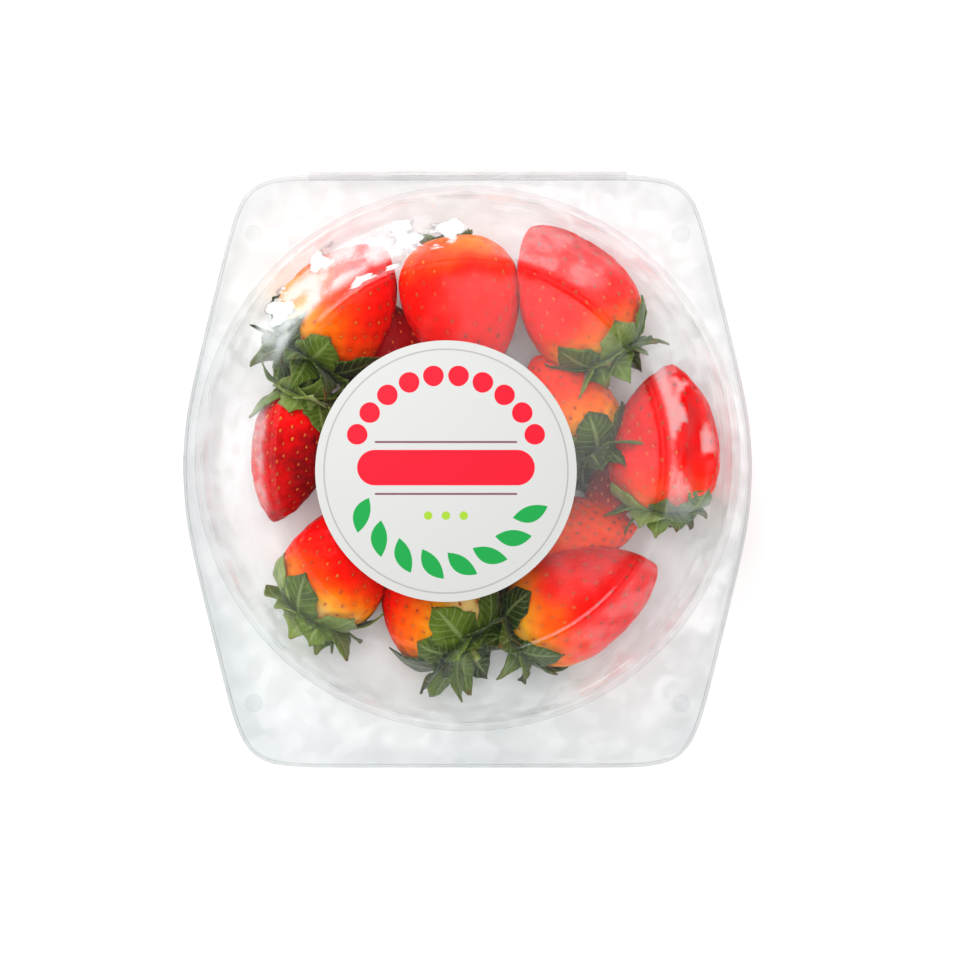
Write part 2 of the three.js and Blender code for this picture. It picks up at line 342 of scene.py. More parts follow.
@dataclass(frozen=True)
class ClearFilm:
    """Thin clear plastic: nearly colourless, faintly mottled, glossy, and white where it is creased.

    Its four tints are for a clear stretch, a smokier one that also carries painted shade, a fold's
    rim of painted shade and an edge of painted shade. Its white is milky film everywhere, film
    whitened by strain with painted highlights on the creases, and milky film with a painted
    reflection on the lid's slope. The panel is the flat middle of the lid, which is calmer and
    shinier than the rest.
    """

    name: str
    tint: Colour = (0.974, 0.98, 0.981)
    smoke_and_shade_tint: Colour = (0.918, 0.931, 0.934)
    fold_shade: Colour = (0.6, 0.61, 0.63)
    edge_shade: Colour = (0.82, 0.832, 0.838)
    white: Colour = (0.91, 0.95, 0.955)
    gloss: float = 0.026
    gloss_roughness: float = 0.07
    most_shine: float = 0.35
    milk_and_reflection: float = 0.001
    even_milky_reflection: float = 0.07
    cloudy_milky_reflection: float = 0.15
    stress_highlight: float = 0.68
    panel_radius: float = 57.5
    panel_edge: float = 1.2
    panel_height: float = 47.6
    panel_calm: float = 0.975
    wave_depth: float = 1.5
    wave_strength: float = 0.5
    flange_starts: float = 69.0
    flange_whole: float = 76.0
    # These set the painted shade that grows towards the front of the pack.
    front_shade_ends: float = 80.0
    front_shade_growth: float = 1.3

    def material(self) -> bpy.types.Material:
        """Builds the film's material.

        Returns:
            The material, which reads Object coordinates.
        """
        make = Recipe(self.name)
        x, y, z = make.axes(make.place)
        from_axis = (x * x + (y - OUTLINE.axis_y * MM) * (y - OUTLINE.axis_y * MM)) ** 0.5
        panel = from_axis.under(self.panel_radius * MM, self.panel_edge * MM) * z.between(
            (self.panel_height - 1) * MM, self.panel_height * MM)
        waves = make.grain(26, 0.0) * 0.9 + make.grain(9, 1.0) * 0.35
        normal = make.relief(waves * (1 - panel * self.panel_calm), self.wave_depth, self.wave_strength)
        facing = Value(make, make.node(
            "ShaderNodeLayerWeight", None, {"Blend": 0.5, "Normal": normal}).outputs["Facing"])
        crease = make.attribute("crease")
        folds = make.grain(8, 3.0, (1.0, 1.5, 1.2)) + (crease - 0.8) * 0.16
        clear = self._sheet(make, self._smoke_and_shade(make, x, y, from_axis, facing), folds, crease, facing)
        patches = 1 - make.grain(7, 1.0).between(0.5, 0.56) * (1 - panel) * (1 - crease) * 0.8
        shine = (self.gloss + (1 - self.gloss) * facing ** 5) * patches * (1 - make.attribute("dull"))
        shiny = make.layered(
            shine.least(self.most_shine), clear,
            make.surface("ShaderNodeBsdfGlossy", Color=(1.0, 1.0, 1.0),
                         Roughness=self.gloss_roughness, Normal=normal))
        white = make.surface("ShaderNodeBsdfDiffuse", Color=self.white)
        # Painted highlights: white on the folds of the creases, as film whitened by strain.
        stress_and_highlight = folds.between(0.52, 0.58) * crease.between(0.15, 0.6) * self.stress_highlight
        # Milky white on the lid's slope, which also stands in as a painted reflection.
        clouded = self.even_milky_reflection + make.grain(7, 2.0).between(0.4, 0.58) * self.cloudy_milky_reflection
        milky_reflection = make.attribute("milky_reflection") * clouded
        return make.done(make.layered((stress_and_highlight + milky_reflection + self.milk_and_reflection).least(1.0), shiny, white))

    def _smoke_and_shade(self, make: Recipe, x: Value, y: Value, from_axis: Value, facing: Value) -> Value:
        """How much smokier the film looks: in soft clouds and more at the flange, with painted shade
        that grows towards the front and on one side's flange.

        Args:
            make: the material's recipe.
            x: the place's distance to the right of the pack's middle.
            y: its distance behind the middle.
            from_axis: its distance from the bowl's axis.
            facing: how far the film is turned away.

        Returns:
            The share of smokier film and painted shade, which may pass 1.
        """
        clouds = (make.grain(11, 2.0).between(0.42, 0.66) * 0.55
                  + make.grain(34, 0.0).between(0.4, 0.65) * 0.3)
        # Painted shade: the film darkens towards the front and on the left side's flange.
        front_shade = (self.front_shade_ends * MM - y) * self.front_shade_growth
        flange = from_axis.between(self.flange_starts * MM, self.flange_whole * MM)
        left_shade = (0 - x).between(0.05, 0.085) * (0.06 - y).between(-0.03, 0.08)
        depth = clouds * (0.3 + front_shade) * (0.3 + flange * 0.7) + facing ** 2 * 0.45
        return depth + left_shade * flange

    def _sheet(self, make: Recipe, smoke_and_shade: Value, folds: Value, crease: Value,
               facing: Value) -> bpy.types.NodeSocket:
        """The clear sheet, with painted shade where it is crumpled, on the rims of its folds and at its
        edges.

        Args:
            make: the material's recipe.
            smoke_and_shade: how much smokier the film looks, with its painted shade.
            folds: the folds' clouds, where a narrow band is a fold's rim.
            crease: how crumpled the film is.
            facing: how far the film is turned away.

        Returns:
            The sheet's shader.
        """
        # Painted shade: the film is smokier where it is crumpled.
        clear = make.layered(
            (smoke_and_shade + crease * 0.7).least(1.0),
            make.surface("ShaderNodeBsdfTransparent", Color=self.tint),
            make.surface("ShaderNodeBsdfTransparent", Color=self.smoke_and_shade_tint))
        # Painted shade on the rims of the folds.
        rims = folds.between(0.46, 0.5) * (1 - folds.between(0.51, 0.55)) * crease.between(0.1, 0.6)
        clear = make.layered(rims * 0.5, clear,
                             make.surface("ShaderNodeBsdfTransparent", Color=self.fold_shade))
        # Painted shade at the film's edges.
        edges = make.attribute("rim") * 0.4 + facing ** 4 * 0.18
        return make.layered(edges.least(1.0), clear,
                            make.surface("ShaderNodeBsdfTransparent", Color=self.edge_shade))


@dataclass(frozen=True)
class FruitSkin:
    """The berries' glossy skin, from a pale yellow shoulder to a deep red tip."""

    name: str = "strawberry_skin"
    # The darkest stops, near 1, serve mostly as painted shade for the bare berries and the low ones.
    stops: tuple[tuple[float, str], ...] = (
        (0.0, "ffd884"), (0.14, "ffae26"), (0.3, "ff7606"), (0.46, "ff4402"),
        (0.62, "ff1a02"), (0.8, "fa0404"), (0.92, "d00206"), (1.0, "8a0208"))

    def material(self) -> bpy.types.Material:
        """Builds the skin's material from the mesh's ripening and pits, with painted shade in both.

        Returns:
            The material.
        """
        make = Recipe(self.name)
        # The ripening also darkens the bare berries and those low in the heap as painted shade.
        ripeness_and_shade = (make.attribute("ripe_and_shade") + (make.grain(5, 3.0) - 0.5) * 0.16
                    + (make.grain(1.6, 2.0) - 0.5) * 0.1)
        skin = make.ramp(ripeness_and_shade, [(at, colour(code)) for at, code in self.stops])
        # Painted shade: the skin is darkened in the seeds' pits.
        pit = make.attribute("pit")
        skin = make.blend(pit * 0.2, skin, colour("8e0a10"), "MULTIPLY")
        pores = make.grain(0.55, 2.0)
        normal = make.relief(pores * 0.6 + make.grain(2.4, 2.0) * 0.7, 0.22, 0.45)
        return make.done(make.surface(
            Base_Color=skin, Roughness=0.3 + make.grain(4, 2.0) * 0.22, Normal=normal,
            Subsurface_Weight=0.1, Subsurface_Radius=(1.0, 0.2, 0.1), Subsurface_Scale=0.002,
            Specular_IOR_Level=0.1, Specular_Tint=(1.0, 0.5, 0.46, 1.0), Coat_Weight=0.02,
            Coat_Roughness=0.1))


@dataclass(frozen=True)
class SeedCoat:
    """The small dry seeds, straw yellow to brown."""

    name: str = "strawberry_seed"

    def material(self) -> bpy.types.Material:
        """Builds the seeds' material."""
        make = Recipe(self.name)
        shade = make.ramp(make.attribute("tone") + (make.grain(0.8, 2.0) - 0.5) * 0.3, [
            (0.0, colour("e8a02c")), (0.5, colour("d8601c")), (1.0, colour("9a2410"))])
        normal = make.relief(make.grain(0.3, 2.0), 0.08, 0.5)
        return make.done(make.surface(Base_Color=shade, Roughness=0.42, Normal=normal))


@dataclass(frozen=True)
class LeafSkin:
    """The cap's leaves, with a pale midrib, side veins and dry brown tips."""

    name: str = "strawberry_leaf"
    veins: float = 9.0
    sweep: float = 3.2

    def material(self) -> bpy.types.Material:
        """Builds the leaves' material from their own map and tone.

        Returns:
            The material.
        """
        make = Recipe(self.name)
        along, across, _ = make.axes(make.node("ShaderNodeUVMap", {"uv_map": "leaf"}).outputs[0])
        off_middle = abs(across - 0.5)
        midrib = off_middle.under(0.045, 0.06)
        teeth = (along * self.veins - off_middle * self.sweep).maths("FRACT")
        side_veins = abs(teeth - 0.5).under(0.09, 0.14) * 0.6
        web = midrib.most(side_veins)
        tone = make.attribute("tone") + (make.grain(3.5, 3.0) - 0.5) * 0.55
        green = make.ramp(tone, [
            (0.0, colour("1f3003")), (0.3, colour("3e5408")), (0.55, colour("61781c")),
            (0.8, colour("87964e")), (1.0, colour("b2ba96"))])
        green = make.blend(web * 0.4, green, colour("a8b874"))
        dry = along.between(0.86, 1.02) * make.grain(6, 1.0).between(0.42, 0.6)
        green = make.blend(dry, green, colour("6b4a1e"))
        normal = make.relief(web * 0.7 + make.grain(0.7, 2.0) * 0.5, 0.25, 0.6)
        return make.done(make.surface(
            Base_Color=green, Roughness=0.42 + make.grain(3, 2.0) * 0.2, Normal=normal,
            Specular_IOR_Level=0.3, Sheen_Weight=0.1, Sheen_Roughness=0.4))


@dataclass(frozen=True)
class StalkSkin:
    """Cut green stalks with fine lengthwise lines."""

    name: str = "strawberry_stalk"

    def material(self) -> bpy.types.Material:
        """Builds the stalks' material."""
        make = Recipe(self.name)
        green = make.ramp(make.grain(3, 3.0), [
            (0.3, colour("6f8436")), (0.55, colour("93a24e")), (0.8, colour("a88b5a"))])
        normal = make.relief(make.grain(0.6, 2.0), 0.15, 0.5)
        return make.done(make.surface(Base_Color=green, Roughness=0.5, Normal=normal))


@dataclass(frozen=True)
class PrintedPaper:
    """Satin label paper, printed with plain dots, leaves and a bar."""

    name: str = "label_print"
    centre: tuple[float, float] = (-6.0, -0.8)
    paper: str = "c8c9c7"
    red: str = "e3122c"
    green: str = "169a45"
    lime: str = "9cc437"
    ring_radius: float = 34.3
    dots_radius: float = 27.0
    dot_size: float = 2.9
    dot_angle: float = 15.0
    leaves_radius: float = 26.6
    leaf_angle: float = 18.0
    leaf_length: float = 5.2
    leaf_width: float = 2.3
    bar_half: tuple[float, float] = (25.0, 5.0)
    bar_centre: float = 1.0
    rules_at: tuple[float, float] = (-6.4, 8.2)
    rule_half: tuple[float, float] = (20.0, 0.3)
    pips_at: float = -12.5
    pip_step: float = 5.0
    pip_size: float = 1.2
    upper_half: float = 75.0
    lower_half: float = 72.0
    print_height: float = 48.3
    edge: float = 0.18

    def material(self) -> bpy.types.Material:
        """Builds the printed paper's material.

        Returns:
            The material, which reads Object coordinates.
        """
        make = Recipe(self.name)
        moved = make.node("ShaderNodeMapping", None, {
            "Vector": make.place, "Scale": (1 / MM, 1 / MM, 1 / MM),
            "Location": (-self.centre[0], -self.centre[1], 0.0)})
        x, y, z = make.axes(moved.outputs[0])
        face = z.between(self.print_height - 0.05, self.print_height + 0.05)
        radius = (x * x + y * y) ** 0.5
        angle = y.maths("ARCTAN2", x)
        upper = abs(angle - math.pi / 2).under(math.radians(self.upper_half), 0.01)
        lower = abs(angle + math.pi / 2).under(math.radians(self.lower_half), 0.01)
        ring = abs(radius - self.ring_radius).under(0.22, 0.16)
        dots = self._row(angle, radius, self.dot_angle, self.dots_radius, self._dot) * upper
        leaves = self._row(angle, radius, self.leaf_angle, self.leaves_radius, self._leaf) * lower
        bar = self._bar(x, y)
        rules = self._rule(x, y, self.rules_at[0]).most(self._rule(x, y, self.rules_at[1]))
        fibre = make.grain(0.8, 3.0)
        sheet = make.blend(fibre * 0.16, colour(self.paper), colour("c6c6c2"))
        sheet = make.blend(ring * face * 0.55, sheet, colour("8d7f86"))
        sheet = make.blend(leaves * face, sheet, colour(self.green))
        sheet = make.blend(rules * face, sheet, colour("7f5560"))
        sheet = make.blend(dots.most(bar) * face, sheet, colour(self.red))
        sheet = make.blend(self._pips(x, y) * face, sheet, colour(self.lime))
        normal = make.relief(fibre * 0.6 + make.grain(14, 1.0) * 0.5, 0.12, 0.25)
        return make.done(make.surface(
            Base_Color=sheet, Roughness=0.44 + fibre * 0.08, Normal=normal, Specular_IOR_Level=0.4))

    @staticmethod
    def _row(angle: Value, radius: Value, step: float, middle: float,
             motif: Callable[[Value, Value], Value]) -> Value:
        """Repeats a motif round a circle.

        Args:
            angle: the point's direction, in radians.
            radius: its distance from the middle.
            step: degrees from one motif to the next.
            middle: the circle's radius.
            motif: makes the mask from the distances along and off the circle.

        Returns:
            The row's mask.
        """
        turn = math.radians(step)
        along = ((angle / turn).maths("FRACT") - 0.5) * (turn * middle)
        return motif(along, radius - middle)

    def _dot(self, along: Value, off: Value) -> Value:
        """A round dot."""
        return ((along * along + off * off) ** 0.5).under(self.dot_size, self.edge)

    def _leaf(self, along: Value, off: Value) -> Value:
        """A pointed leaf that leans to one side."""
        length = (along + off) * math.sqrt(0.5)
        width = (along - off) * math.sqrt(0.5)
        room = (1 - (length / self.leaf_length) ** 2) * self.leaf_width
        return (abs(width) - room).under(0.0, self.edge)

    def _bar(self, x: Value, y: Value) -> Value:
        """A wide bar with round ends."""
        half_length, half_height = self.bar_half
        past = (abs(x) - (half_length - half_height)).most(0.0)
        rise = y - self.bar_centre
        return ((past * past + rise * rise) ** 0.5).under(half_height, self.edge)

    def _rule(self, x: Value, y: Value, at: float) -> Value:
        """A thin rule at a height over the middle."""
        half_length, half_height = self.rule_half
        return abs(y - at).under(half_height, 0.16) * abs(x).under(half_length, 0.3)

    def _pips(self, x: Value, y: Value) -> Value:
        """Three small dots in a row under the bar."""
        step = x / self.pip_step + 0.5
        along = (step.maths("FRACT") - 0.5) * self.pip_step
        rise = y - self.pips_at
        dots = ((along * along + rise * rise) ** 0.5).under(self.pip_size, self.edge)
        return dots * abs(x).under(self.pip_step * 1.5, 0.1)


@dataclass(frozen=True)
class Outline:
    """The flanges' barrel outline, measured from the bowl's axis."""

    front: float = 85.5
    back: float = 83.9
    side: float = 81.5
    slope_reach: float = 82.2
    slope: float = math.radians(13.8)
    corner_sharpness: float = 16.0
    side_sharpness: float = 60.0
    crowding: float = 0.6
    axis_y: float = 2.9
    nominal: float = 80.5

    def reach(self, angle: float, back: float) -> float:
        """Distance from the axis to the edge in a direction.

        Args:
            angle: the direction in radians.
            back: the back edge's distance from the middle of the pack.

        Returns:
            The distance in millimetres.
        """
        x, y = abs(math.cos(angle)), math.sin(angle)
        reach = self.slope_reach - math.copysign(1, y) * self.axis_y * math.sin(self.slope)
        slope = (x * math.cos(self.slope) + abs(y) * math.sin(self.slope)) / reach
        power = self.side_sharpness
        sides = ((x / self.side) ** power + slope ** power) ** (1 / power)
        end = y / (back - self.axis_y) if y > 0 else -y / (self.front + self.axis_y)
        corner = self.corner_sharpness
        return (sides ** corner + end ** corner) ** (-1 / corner)

    def crowded(self, angle: float, share: float) -> float:
        """The direction of an edge point, crowded into the corners by a share."""
        return angle + share * self.crowding * math.sin(4 * angle) / 4


OUTLINE = Outline()


@dataclass(frozen=True)
class Band:
    """A stretch of radius: where it starts, is whole, begins to fade and ends."""

    starts: float
    whole: float
    fades: float
    ends: float

    def share(self, r: float) -> float:
        """How far a radius is inside the band, from 0 to 1."""
        return smooth(r, self.starts, self.whole) * (1 - smooth(r, self.fades, self.ends))


@dataclass(frozen=True)
class Corner:
    """One corner of a shell's line: radius, height, rounding, and cuts to the next corner."""

    r: float
    z: float
    rounding: float = 0.0
    cuts: int = 0


def finished(bm: bmesh.types.BMesh, name: str, body: Body,
             material: bpy.types.Material) -> bpy.types.Object:
    """Turns a shape in millimetres into a smooth, dressed piece in metres.

    Args:
        bm: the shape, which is freed.
        name: the piece's name.
        body: the body that it rides on.
        material: its material.

    Returns:
        The piece's object.
    """
    bmesh.ops.scale(bm, vec=(MM, MM, MM), verts=bm.verts)
    for face in bm.faces:
        face.smooth = True
    mesh = bpy.data.meshes.new(name)
    bm.to_mesh(mesh)
    bm.free()
    mesh.materials.append(material)
    piece = bpy.data.objects.new(name, mesh)
    bpy.context.scene.collection.objects.link(piece)
    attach(piece, body.value)
    return piece


@dataclass
class Shell:
    """A thin shell turned from a line on its upper side and spread out to the outline."""

    line: tuple[Corner, ...]
    back: float
    spread_from: float
    spread_to: float
    wall: float = 0.8
    steps: int = 360
    dulled: float = 0.0
    dull_band: Band = Band(57.4, 58.8, 68, 71)
    rim_starts: float = OUTLINE.nominal - 1.9
    rim_whole: float = OUTLINE.nominal - 1.0

    def turned(self) -> bmesh.types.BMesh:
        """Turns the line about the axis.

        Returns:
            The shell's upper side, still round, with its faces upwards.
        """
        bm = bmesh.new()
        ends = [bm.verts.new((corner.r, 0, corner.z)) for corner in self.line]
        for first, second in pairwise(ends):
            bm.edges.new((first, second))
        for vert, corner in zip(ends, self.line):
            if corner.rounding:
                bmesh.ops.bevel(bm, geom=[vert], offset=corner.rounding, offset_type="OFFSET",
                                segments=4, profile=0.5, affect="VERTICES", material=-1)
        for corner, following in pairwise(self.line):
            if corner.cuts:
                middle = Vector((corner.r + following.r, 0, corner.z + following.z)) / 2
                edge = min(bm.edges, key=lambda e: (
                    (e.verts[0].co + e.verts[1].co) / 2 - middle).length - e.calc_length() / 2)
                bmesh.ops.subdivide_edges(bm, edges=[edge], cuts=corner.cuts)
        bmesh.ops.spin(bm, geom=bm.verts[:] + bm.edges[:], cent=(0, 0, 0), axis=(0, 0, 1),
                       angle=2 * math.pi, steps=self.steps, use_merge=True)
        bmesh.ops.remove_doubles(bm, verts=bm.verts, dist=1e-4)
        bmesh.ops.recalc_face_normals(bm, faces=bm.faces)
        middle = min(bm.faces, key=lambda face: face.calc_center_median().xy.length)
        if middle.normal.z < 0:
            bmesh.ops.reverse_faces(bm, faces=bm.faces)
        return bm

    def crease(self, r: float, angle: float) -> float:
        """How strongly the film is crumpled at a place, from 0 to 1."""
        return 0.0

    def milky_reflection(self, r: float, angle: float) -> float:
        """How milky the film is at a place, with its painted reflection, from 0 to 1."""
        return 0.0

    def spread(self, bm: bmesh.types.BMesh) -> None:
        """Moves each vertex in polar form to the outline, and adds the shell's own relief.

        Args:
            bm: the round shell, changed in place.
        """
        crease = bm.verts.layers.float.new("crease")
        milky_reflection = bm.verts.layers.float.new("milky_reflection")
        rim = bm.verts.layers.float.new("rim")
        dull = bm.verts.layers.float.new("dull")
        for vert in bm.verts:
            x, y, z = vert.co
            r = math.hypot(x, y)
            angle = math.atan2(y, x)
            vert[crease] = self.crease(r, angle)
            vert[milky_reflection] = self.milky_reflection(r, angle)
            vert[dull] = self.dull_band.share(r) * self.dulled
            vert[rim] = smooth(r, self.rim_starts, self.rim_whole)
            share = clamp((r - self.spread_from) / (self.spread_to - self.spread_from))
            moved_r, lift = self.relief(r, z, angle)
            if share:
                angle = OUTLINE.crowded(angle, share)
                moved_r += share * (OUTLINE.reach(angle, self.back) - OUTLINE.nominal)
            vert.co = (moved_r * math.cos(angle), moved_r * math.sin(angle) + OUTLINE.axis_y, z + lift)

    def relief(self, r: float, z: float, angle: float) -> tuple[float, float]:
        """The radius and the lift of a vertex, as the round shell has them."""
        return r, 0.0

    def walled(self, piece: bpy.types.Object) -> None:
        """Gives a finished upper side its wall below, and keeps it out of soft light's way.

        The film is so clear that soft light passes it nearly unchanged, so only what the eye
        sees straight or in a gloss meets it, which keeps the render short.

        Args:
            piece: the shell's object.
        """
        wall = piece.modifiers.new("wall", "SOLIDIFY")
        wall.thickness = self.wall * MM
        wall.offset = -1
        wall.use_even_offset = True
        wall.use_quality_normals = True
        piece.visible_diffuse = False
        piece.visible_shadow = False


@dataclass
class Tray(Shell):
    """The tray: a round fluted bowl with a stepped rim and a lip that turns down."""

    line: tuple[Corner, ...] = (
        Corner(0, 3.0, 0, 9), Corner(52, 3.0, 1.6, 1), Corner(56, 0.8, 1.4, 2),
        Corner(63, 0.8, 2.2, 1), Corner(67.4, 4.2, 3.0, 13), Corner(75, 25.5, 1.0, 1),
        Corner(75.6, 28.4, 0.35), Corner(76.8, 29.4, 0.35, 1), Corner(77.3, 33.0, 0.4, 9),
        Corner(80.5, 33.0, 0.7), Corner(80.5, 29.6))
    back: float = OUTLINE.back - 0.4
    spread_from: float = 77.8
    spread_to: float = 79.8
    wall_inner: float = 63.0
    wall_outer: float = 75.7
    foot_height: float = 0.8
    flutes: int = 24
    flute_depth: float = 1.1
    wall_waves: float = 0.22
    base_radius: float = 51.0
    base_waves: float = 0.16

    def relief(self, r: float, z: float, angle: float) -> tuple[float, float]:
        """Waves the bowl's wall as flutes and leaves the film slightly uneven.

        Args:
            r: the vertex's distance from the axis.
            z: its height.
            angle: its direction.

        Returns:
            Its new distance from the axis and its lift.
        """
        lift = 0.0
        if self.wall_inner < r < self.wall_outer and z > self.foot_height:
            share = 0.6 * smooth(z, self.foot_height, 5.0) + 0.4 * smooth(z, 4, 24)
            share *= 1 - smooth(z, 25.5, 28.2)
            wave = math.cos(self.flutes * angle)
            r += self.flute_depth * share * (0.72 * wave + 0.28 * wave * abs(wave))
            place = polar(r, angle, z)
            r += self.wall_waves * share * ripple(place, 9, 3.1)
        elif r < self.base_radius:
            place = polar(r, angle, z)
            lift = self.base_waves * ripple(place, 17, 1.3) * smooth(self.base_radius - r, 0, 8)
        return r, lift

    def build(self) -> list[bpy.types.Object]:
        """Builds the tray.

        Returns:
            Its one piece.
        """
        bm = self.turned()
        self.spread(bm)
        film = ClearFilm("tray_film", milk_and_reflection=0.03, most_shine=0.12).material()
        piece = finished(bm, "tray_shell", Body.TRAY, film)
        self.walled(piece)
        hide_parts("tray")
        return [piece]


@dataclass(frozen=True)
class Crumple:
    """A crumpled spot in the lid's film: its middle, its half axes and its turn in degrees."""

    x: float
    y: float
    long_half: float
    short_half: float
    turn: float

    def strength(self, x: float, y: float) -> float:
        """How strongly the film is crumpled at a place, from 0 to 1."""
        turn = math.radians(self.turn)
        along = ((x - self.x) * math.cos(turn) + (y - self.y) * math.sin(turn)) / self.long_half
        across = ((y - self.y) * math.cos(turn) - (x - self.x) * math.sin(turn)) / self.short_half
        return 1 - smooth(math.hypot(along, across), 0.45, 1.25)


@dataclass(frozen=True)
class MilkyReflectionArc:
    """A milky stretch of the dome's slope, also a painted reflection: its middle and half width in degrees,
    and its strength.
    """

    middle: float
    half: float
    strength: float
    start: float = 57.2

    def milk_and_reflection(self, r: float, angle: float) -> float:
        """How milky the film is at a place, with its painted reflection, as a share that may pass 1."""
        off = abs((math.degrees(angle) - self.middle + 180) % 360 - 180)
        share = (1 - smooth(off, self.half * 0.5, self.half * 1.2))
        return self.strength * share * smooth(r, self.start - 1.5, self.start + 1.5)


@dataclass(frozen=True)
class Contact:
    """A spot where a berry touches the lid and wets it clear of its milky white and painted reflection: its
    middle and mean reach.
    """

    x: float
    y: float
    reach: float

    def cleared(self, x: float, y: float) -> float:
        """What is left of the milky white and its painted reflection at a place, from 0 on the spot to 1
        off it.
        """
        place = Vector((x, y, 0))
        ragged = self.reach + 3.2 * ripple(place, 4.2, 6.1) + 1.6 * ripple(place, 1.9, 2.9)
        return smooth(math.hypot(x - self.x, y - self.y), ragged * 0.85, ragged)


@dataclass
class Lid(Shell):
    """The lid: a round dome with a flat panel, a plug, a flange, a hinge bead and four studs."""

    line: tuple[Corner, ...] = (
        Corner(0, 48.0, 0, 10), Corner(54.5, 48.0, 0.5), Corner(56, 48.7, 0.7),
        Corner(57.5, 48.0, 0.7, 14), Corner(68.5, 34.0, 1.4, 1), Corner(70.3, 31.4, 0.7, 2),
        Corner(74.1, 31.4, 0.6, 1), Corner(75.1, 34.1, 0.45, 12), Corner(78.9, 34.1, 0.25),
        Corner(79.7, 35.0))
    back: float = OUTLINE.back
    spread_from: float = 75.6
    spread_to: float = 78.7
    crumples: tuple[Crumple, ...] = (
        Crumple(-54.0, 46.5, 8.0, 4.0, 55), Crumple(-39.5, 60.5, 7.5, 4.5, 40),
        Crumple(-15.0, 66.5, 15.0, 6.0, 12), Crumple(-27.0, 54.8, 11.0, 1.8, 22))
    crumple_depth: float = 1.9
    dulled: float = 0.7
    slope: Band = Band(57.5, 60.5, 68, 70.5)
    slope_out: float = 0.79
    slope_up: float = 0.62
    most_raised: float = 0.3
    plug_near: float = 66.0
    panel_radius: float = 54.5
    panel_waves: float = 0.012
    # The milky white on the slope also stands in as a painted reflection.
    milky_reflection_band: Band = Band(57.2, 58.6, 69, 72)
    faint_milky_reflection: float = 0.08
    milky_reflection_arcs: tuple[MilkyReflectionArc, ...] = (
        MilkyReflectionArc(128, 28, 1.7, 61.0), MilkyReflectionArc(68, 18, 0.5), MilkyReflectionArc(8, 26, 1.0),
        MilkyReflectionArc(-44, 22, 0.34), MilkyReflectionArc(180, 16, 0.8))
    contacts: tuple[Contact, ...] = (
        Contact(65.0, 20.0, 6.0), Contact(64.0, 9.0, 5.5), Contact(67.5, -1.0, 6.0),
        Contact(61.5, 1.5, 4.0), Contact(62.0, 27.5, 4.0))
    hinge_radius: float = 0.8
    hinge_length: float = 92.0
    hinge_round: float = 0.35
    hinge_y: float = 84.7
    hinge_z: float = 33.15
    web_width: float = 2.6
    web_z: float = 33.7
    stud_radius: float = 2.6
    stud_taper: float = 0.4
    stud_round: float = 0.5
    stud_rise: float = 1.4
    stud_places: tuple[float, float] = (61.0, 67.0)

    def crease(self, r: float, angle: float) -> float:
        """How strongly the film is crumpled at a place, from 0 to 1.

        Args:
            r: the place's distance from the axis.
            angle: its direction.

        Returns:
            The share, which is 0 off the crumpled spots.
        """
        x, y = r * math.cos(angle), r * math.sin(angle) + OUTLINE.axis_y
        most = max(crumple.strength(x, y) for crumple in self.crumples)
        return most * (1 - smooth(r, 72, 75))

    def milky_reflection(self, r: float, angle: float) -> float:
        """How milky the film is at a place, with its painted reflection: on parts of the dome's slope
        that no berry touches.

        Args:
            r: the place's distance from the axis.
            angle: its direction.

        Returns:
            The share, which is 0 on the panel and the flange.
        """
        most = max(self.faint_milky_reflection, *(milky_reflection.milk_and_reflection(r, angle) for milky_reflection in self.milky_reflection_arcs))
        x, y = r * math.cos(angle), r * math.sin(angle) + OUTLINE.axis_y
        for contact in self.contacts:
            most *= contact.cleared(x, y)
        return self.milky_reflection_band.share(r) * most

    def relief(self, r: float, z: float, angle: float) -> tuple[float, float]:
        """Crumples the dome's slope at one side and leaves the rest slightly uneven.

        Args:
            r: the vertex's distance from the axis.
            z: its height.
            angle: its direction.

        Returns:
            Its new distance from the axis and its lift.
        """
        place = polar(r, angle, z)
        if r < self.panel_radius:
            return r, self.panel_waves * ripple(place, 24, 5.2)
        on_slope = self.slope.share(r)
        if not on_slope:
            return r, 0.0
        sunk = 0.22 * ripple(place, 10, 2.2) + 0.1 * ripple(place, 4.5, 7.7)
        strength = self.crease(r, angle)
        if strength:
            folds = 1 - 2 * abs(ripple(place, 8.5, 4.4)) - 0.8 * abs(ripple(place, 3.8, 9.1))
            sunk -= self.crumple_depth * strength * max(folds - 0.25, -0.1)
        if r > self.plug_near:
            sunk = min(sunk, 0.0)
        moved = on_slope * min(sunk, self.most_raised)
        return r + moved * self.slope_out, moved * self.slope_up

    def build(self) -> list[bpy.types.Object]:
        """Builds the lid with its hinge bead and studs.

        Returns:
            Its pieces.
        """
        bm = self.turned()
        self.spread(bm)
        film = ClearFilm("lid_film").material()
        shell = finished(bm, "lid_shell", Body.LID, film)
        self.walled(shell)
        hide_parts("lid")
        bead_film = ClearFilm(
            "hinge_film", tint=(0.95, 0.955, 0.955), smoke_and_shade_tint=(0.8, 0.815, 0.82), milk_and_reflection=0.04).material()
        return [shell, self._hinge(bead_film), self._studs(film)]

